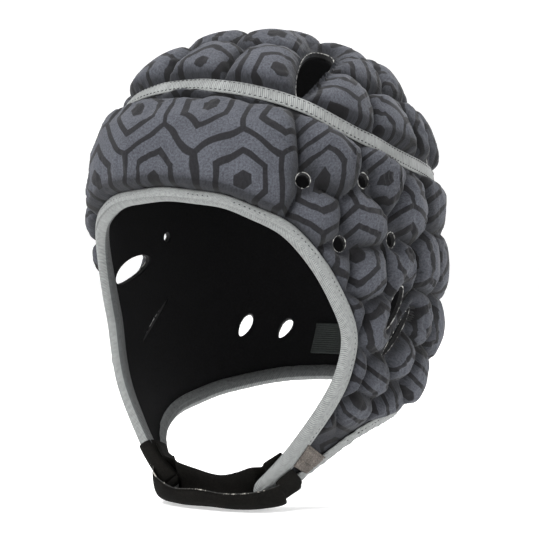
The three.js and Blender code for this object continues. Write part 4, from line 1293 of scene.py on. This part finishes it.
def lip_place(around, along):
    spot = np.clip((LIP_FROM + (LIP_TO - LIP_FROM) * along) * STRAP_STEPS, 0, STRAP_STEPS - 1e-6)
    i = spot.astype(int)
    t = (spot - i)[:, None]
    centre = lip_line[i] * (1 - t) + lip_line[i + 1] * t
    way = unit(lip_line[i + 1] - lip_line[i])
    side = unit(np.cross(way, [0, 0, 1.0]))
    radius = LIP_THREAD * (1 + LIP_FRAY * ripple(centre, 500, 2.2))
    return thread_round(around, centre, side, np.cross(side, way), radius)


strap_threads = wrapped("strap_edge_threads", 8, 220, lip_place, ends=True)
paint(strap_threads, cloth_finish("strap_cut_edge", (0.012, 0.012, 0.011), (0.42, 0.40, 0.36), 0.9, 260,
                                  detail=4, uneven=0.7, spread=(0.52, 0.62)))
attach(strap_threads, "root")

# Loop patch: brown-grey loop tape sewn on the outside of the left tongue, just above the strap's
# end, with a dark stitch line across its top and another lower down.
PATCH_WALL = 0.0012
PATCH_LEVEL = 0.0064
PATCH_DOME = 0.0006
PATCH_DENT = 0.0005
PATCH_TOP = [(56.5, -0.652), (67, -0.694)]
PATCH_LOW = [(52.4, -0.712), (60, -0.738)]
PATCH_SEAMS = (0.10, 0.62)


def patch_place(u, v):
    """The patch between its top and low edges, each given by its front and rear corner."""
    edges = (PATCH_TOP, PATCH_LOW)
    rows = [on_head(*front) * (1 - u)[:, None] + on_head(*rear) * u[:, None] for front, rear in edges]
    edge = np.minimum(np.minimum(u, 1 - u) * 10, np.minimum(v, 1 - v) * 17)
    dent = sum(np.exp(-((v - seam) / 0.03) ** 2) for seam in PATCH_SEAMS)
    level = PATCH_LEVEL + PATCH_DOME * (1 - np.exp(-edge / 0.8)) - PATCH_DENT * dent
    return out_from(on_form(rows[0] * (1 - v)[:, None] + rows[1] * v[:, None]), level)


strap_patch = wrapped("loop_patch", 40, 64, patch_place, (0.010, 0.017))
modify(strap_patch, "SOLIDIFY", thickness=PATCH_WALL, offset=-1)
paint(strap_patch, cloth_finish("loop_pile", (0.026, 0.021, 0.018), (0.125, 0.108, 0.094), 0.9, 1500,
                                cells=True, worn=220, spread=(0.05, 0.45), relief=(0.6, 0.0004)))
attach(strap_patch, "root")
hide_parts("strap_patch")

# Nape tab: a short length of dark ribbed webbing, sewn inside the nape over the lining.
TAB_HALF_ANGLE = 15
TAB_TOP = -0.375
TAB_BOTTOM = -0.466
TAB_WALL = 0.0012
TAB_LEVEL = -0.0006
TAB_RIB = 0.00015
TAB_RIBS = 14


def tab_place(u, v):
    foot = on_head(180 + TAB_HALF_ANGLE * (2 * u - 1), TAB_TOP + (TAB_BOTTOM - TAB_TOP) * v)
    return out_from(foot, TAB_LEVEL - TAB_RIB * (1 - np.cos(v * 2 * math.pi * TAB_RIBS)))


nape_tab = wrapped("nape_webbing", 60, 168, tab_place, (0.042, 0.0175))
modify(nape_tab, "SOLIDIFY", thickness=TAB_WALL, offset=0)
paint(nape_tab, cloth_finish("ribbed_webbing", (0.012, 0.015, 0.014), (0.042, 0.049, 0.046), 0.8, 900,
                             relief=(0.4, 0.0003)))
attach(nape_tab, "root")
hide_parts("nape_tab")

bpy.context.view_layer.update()
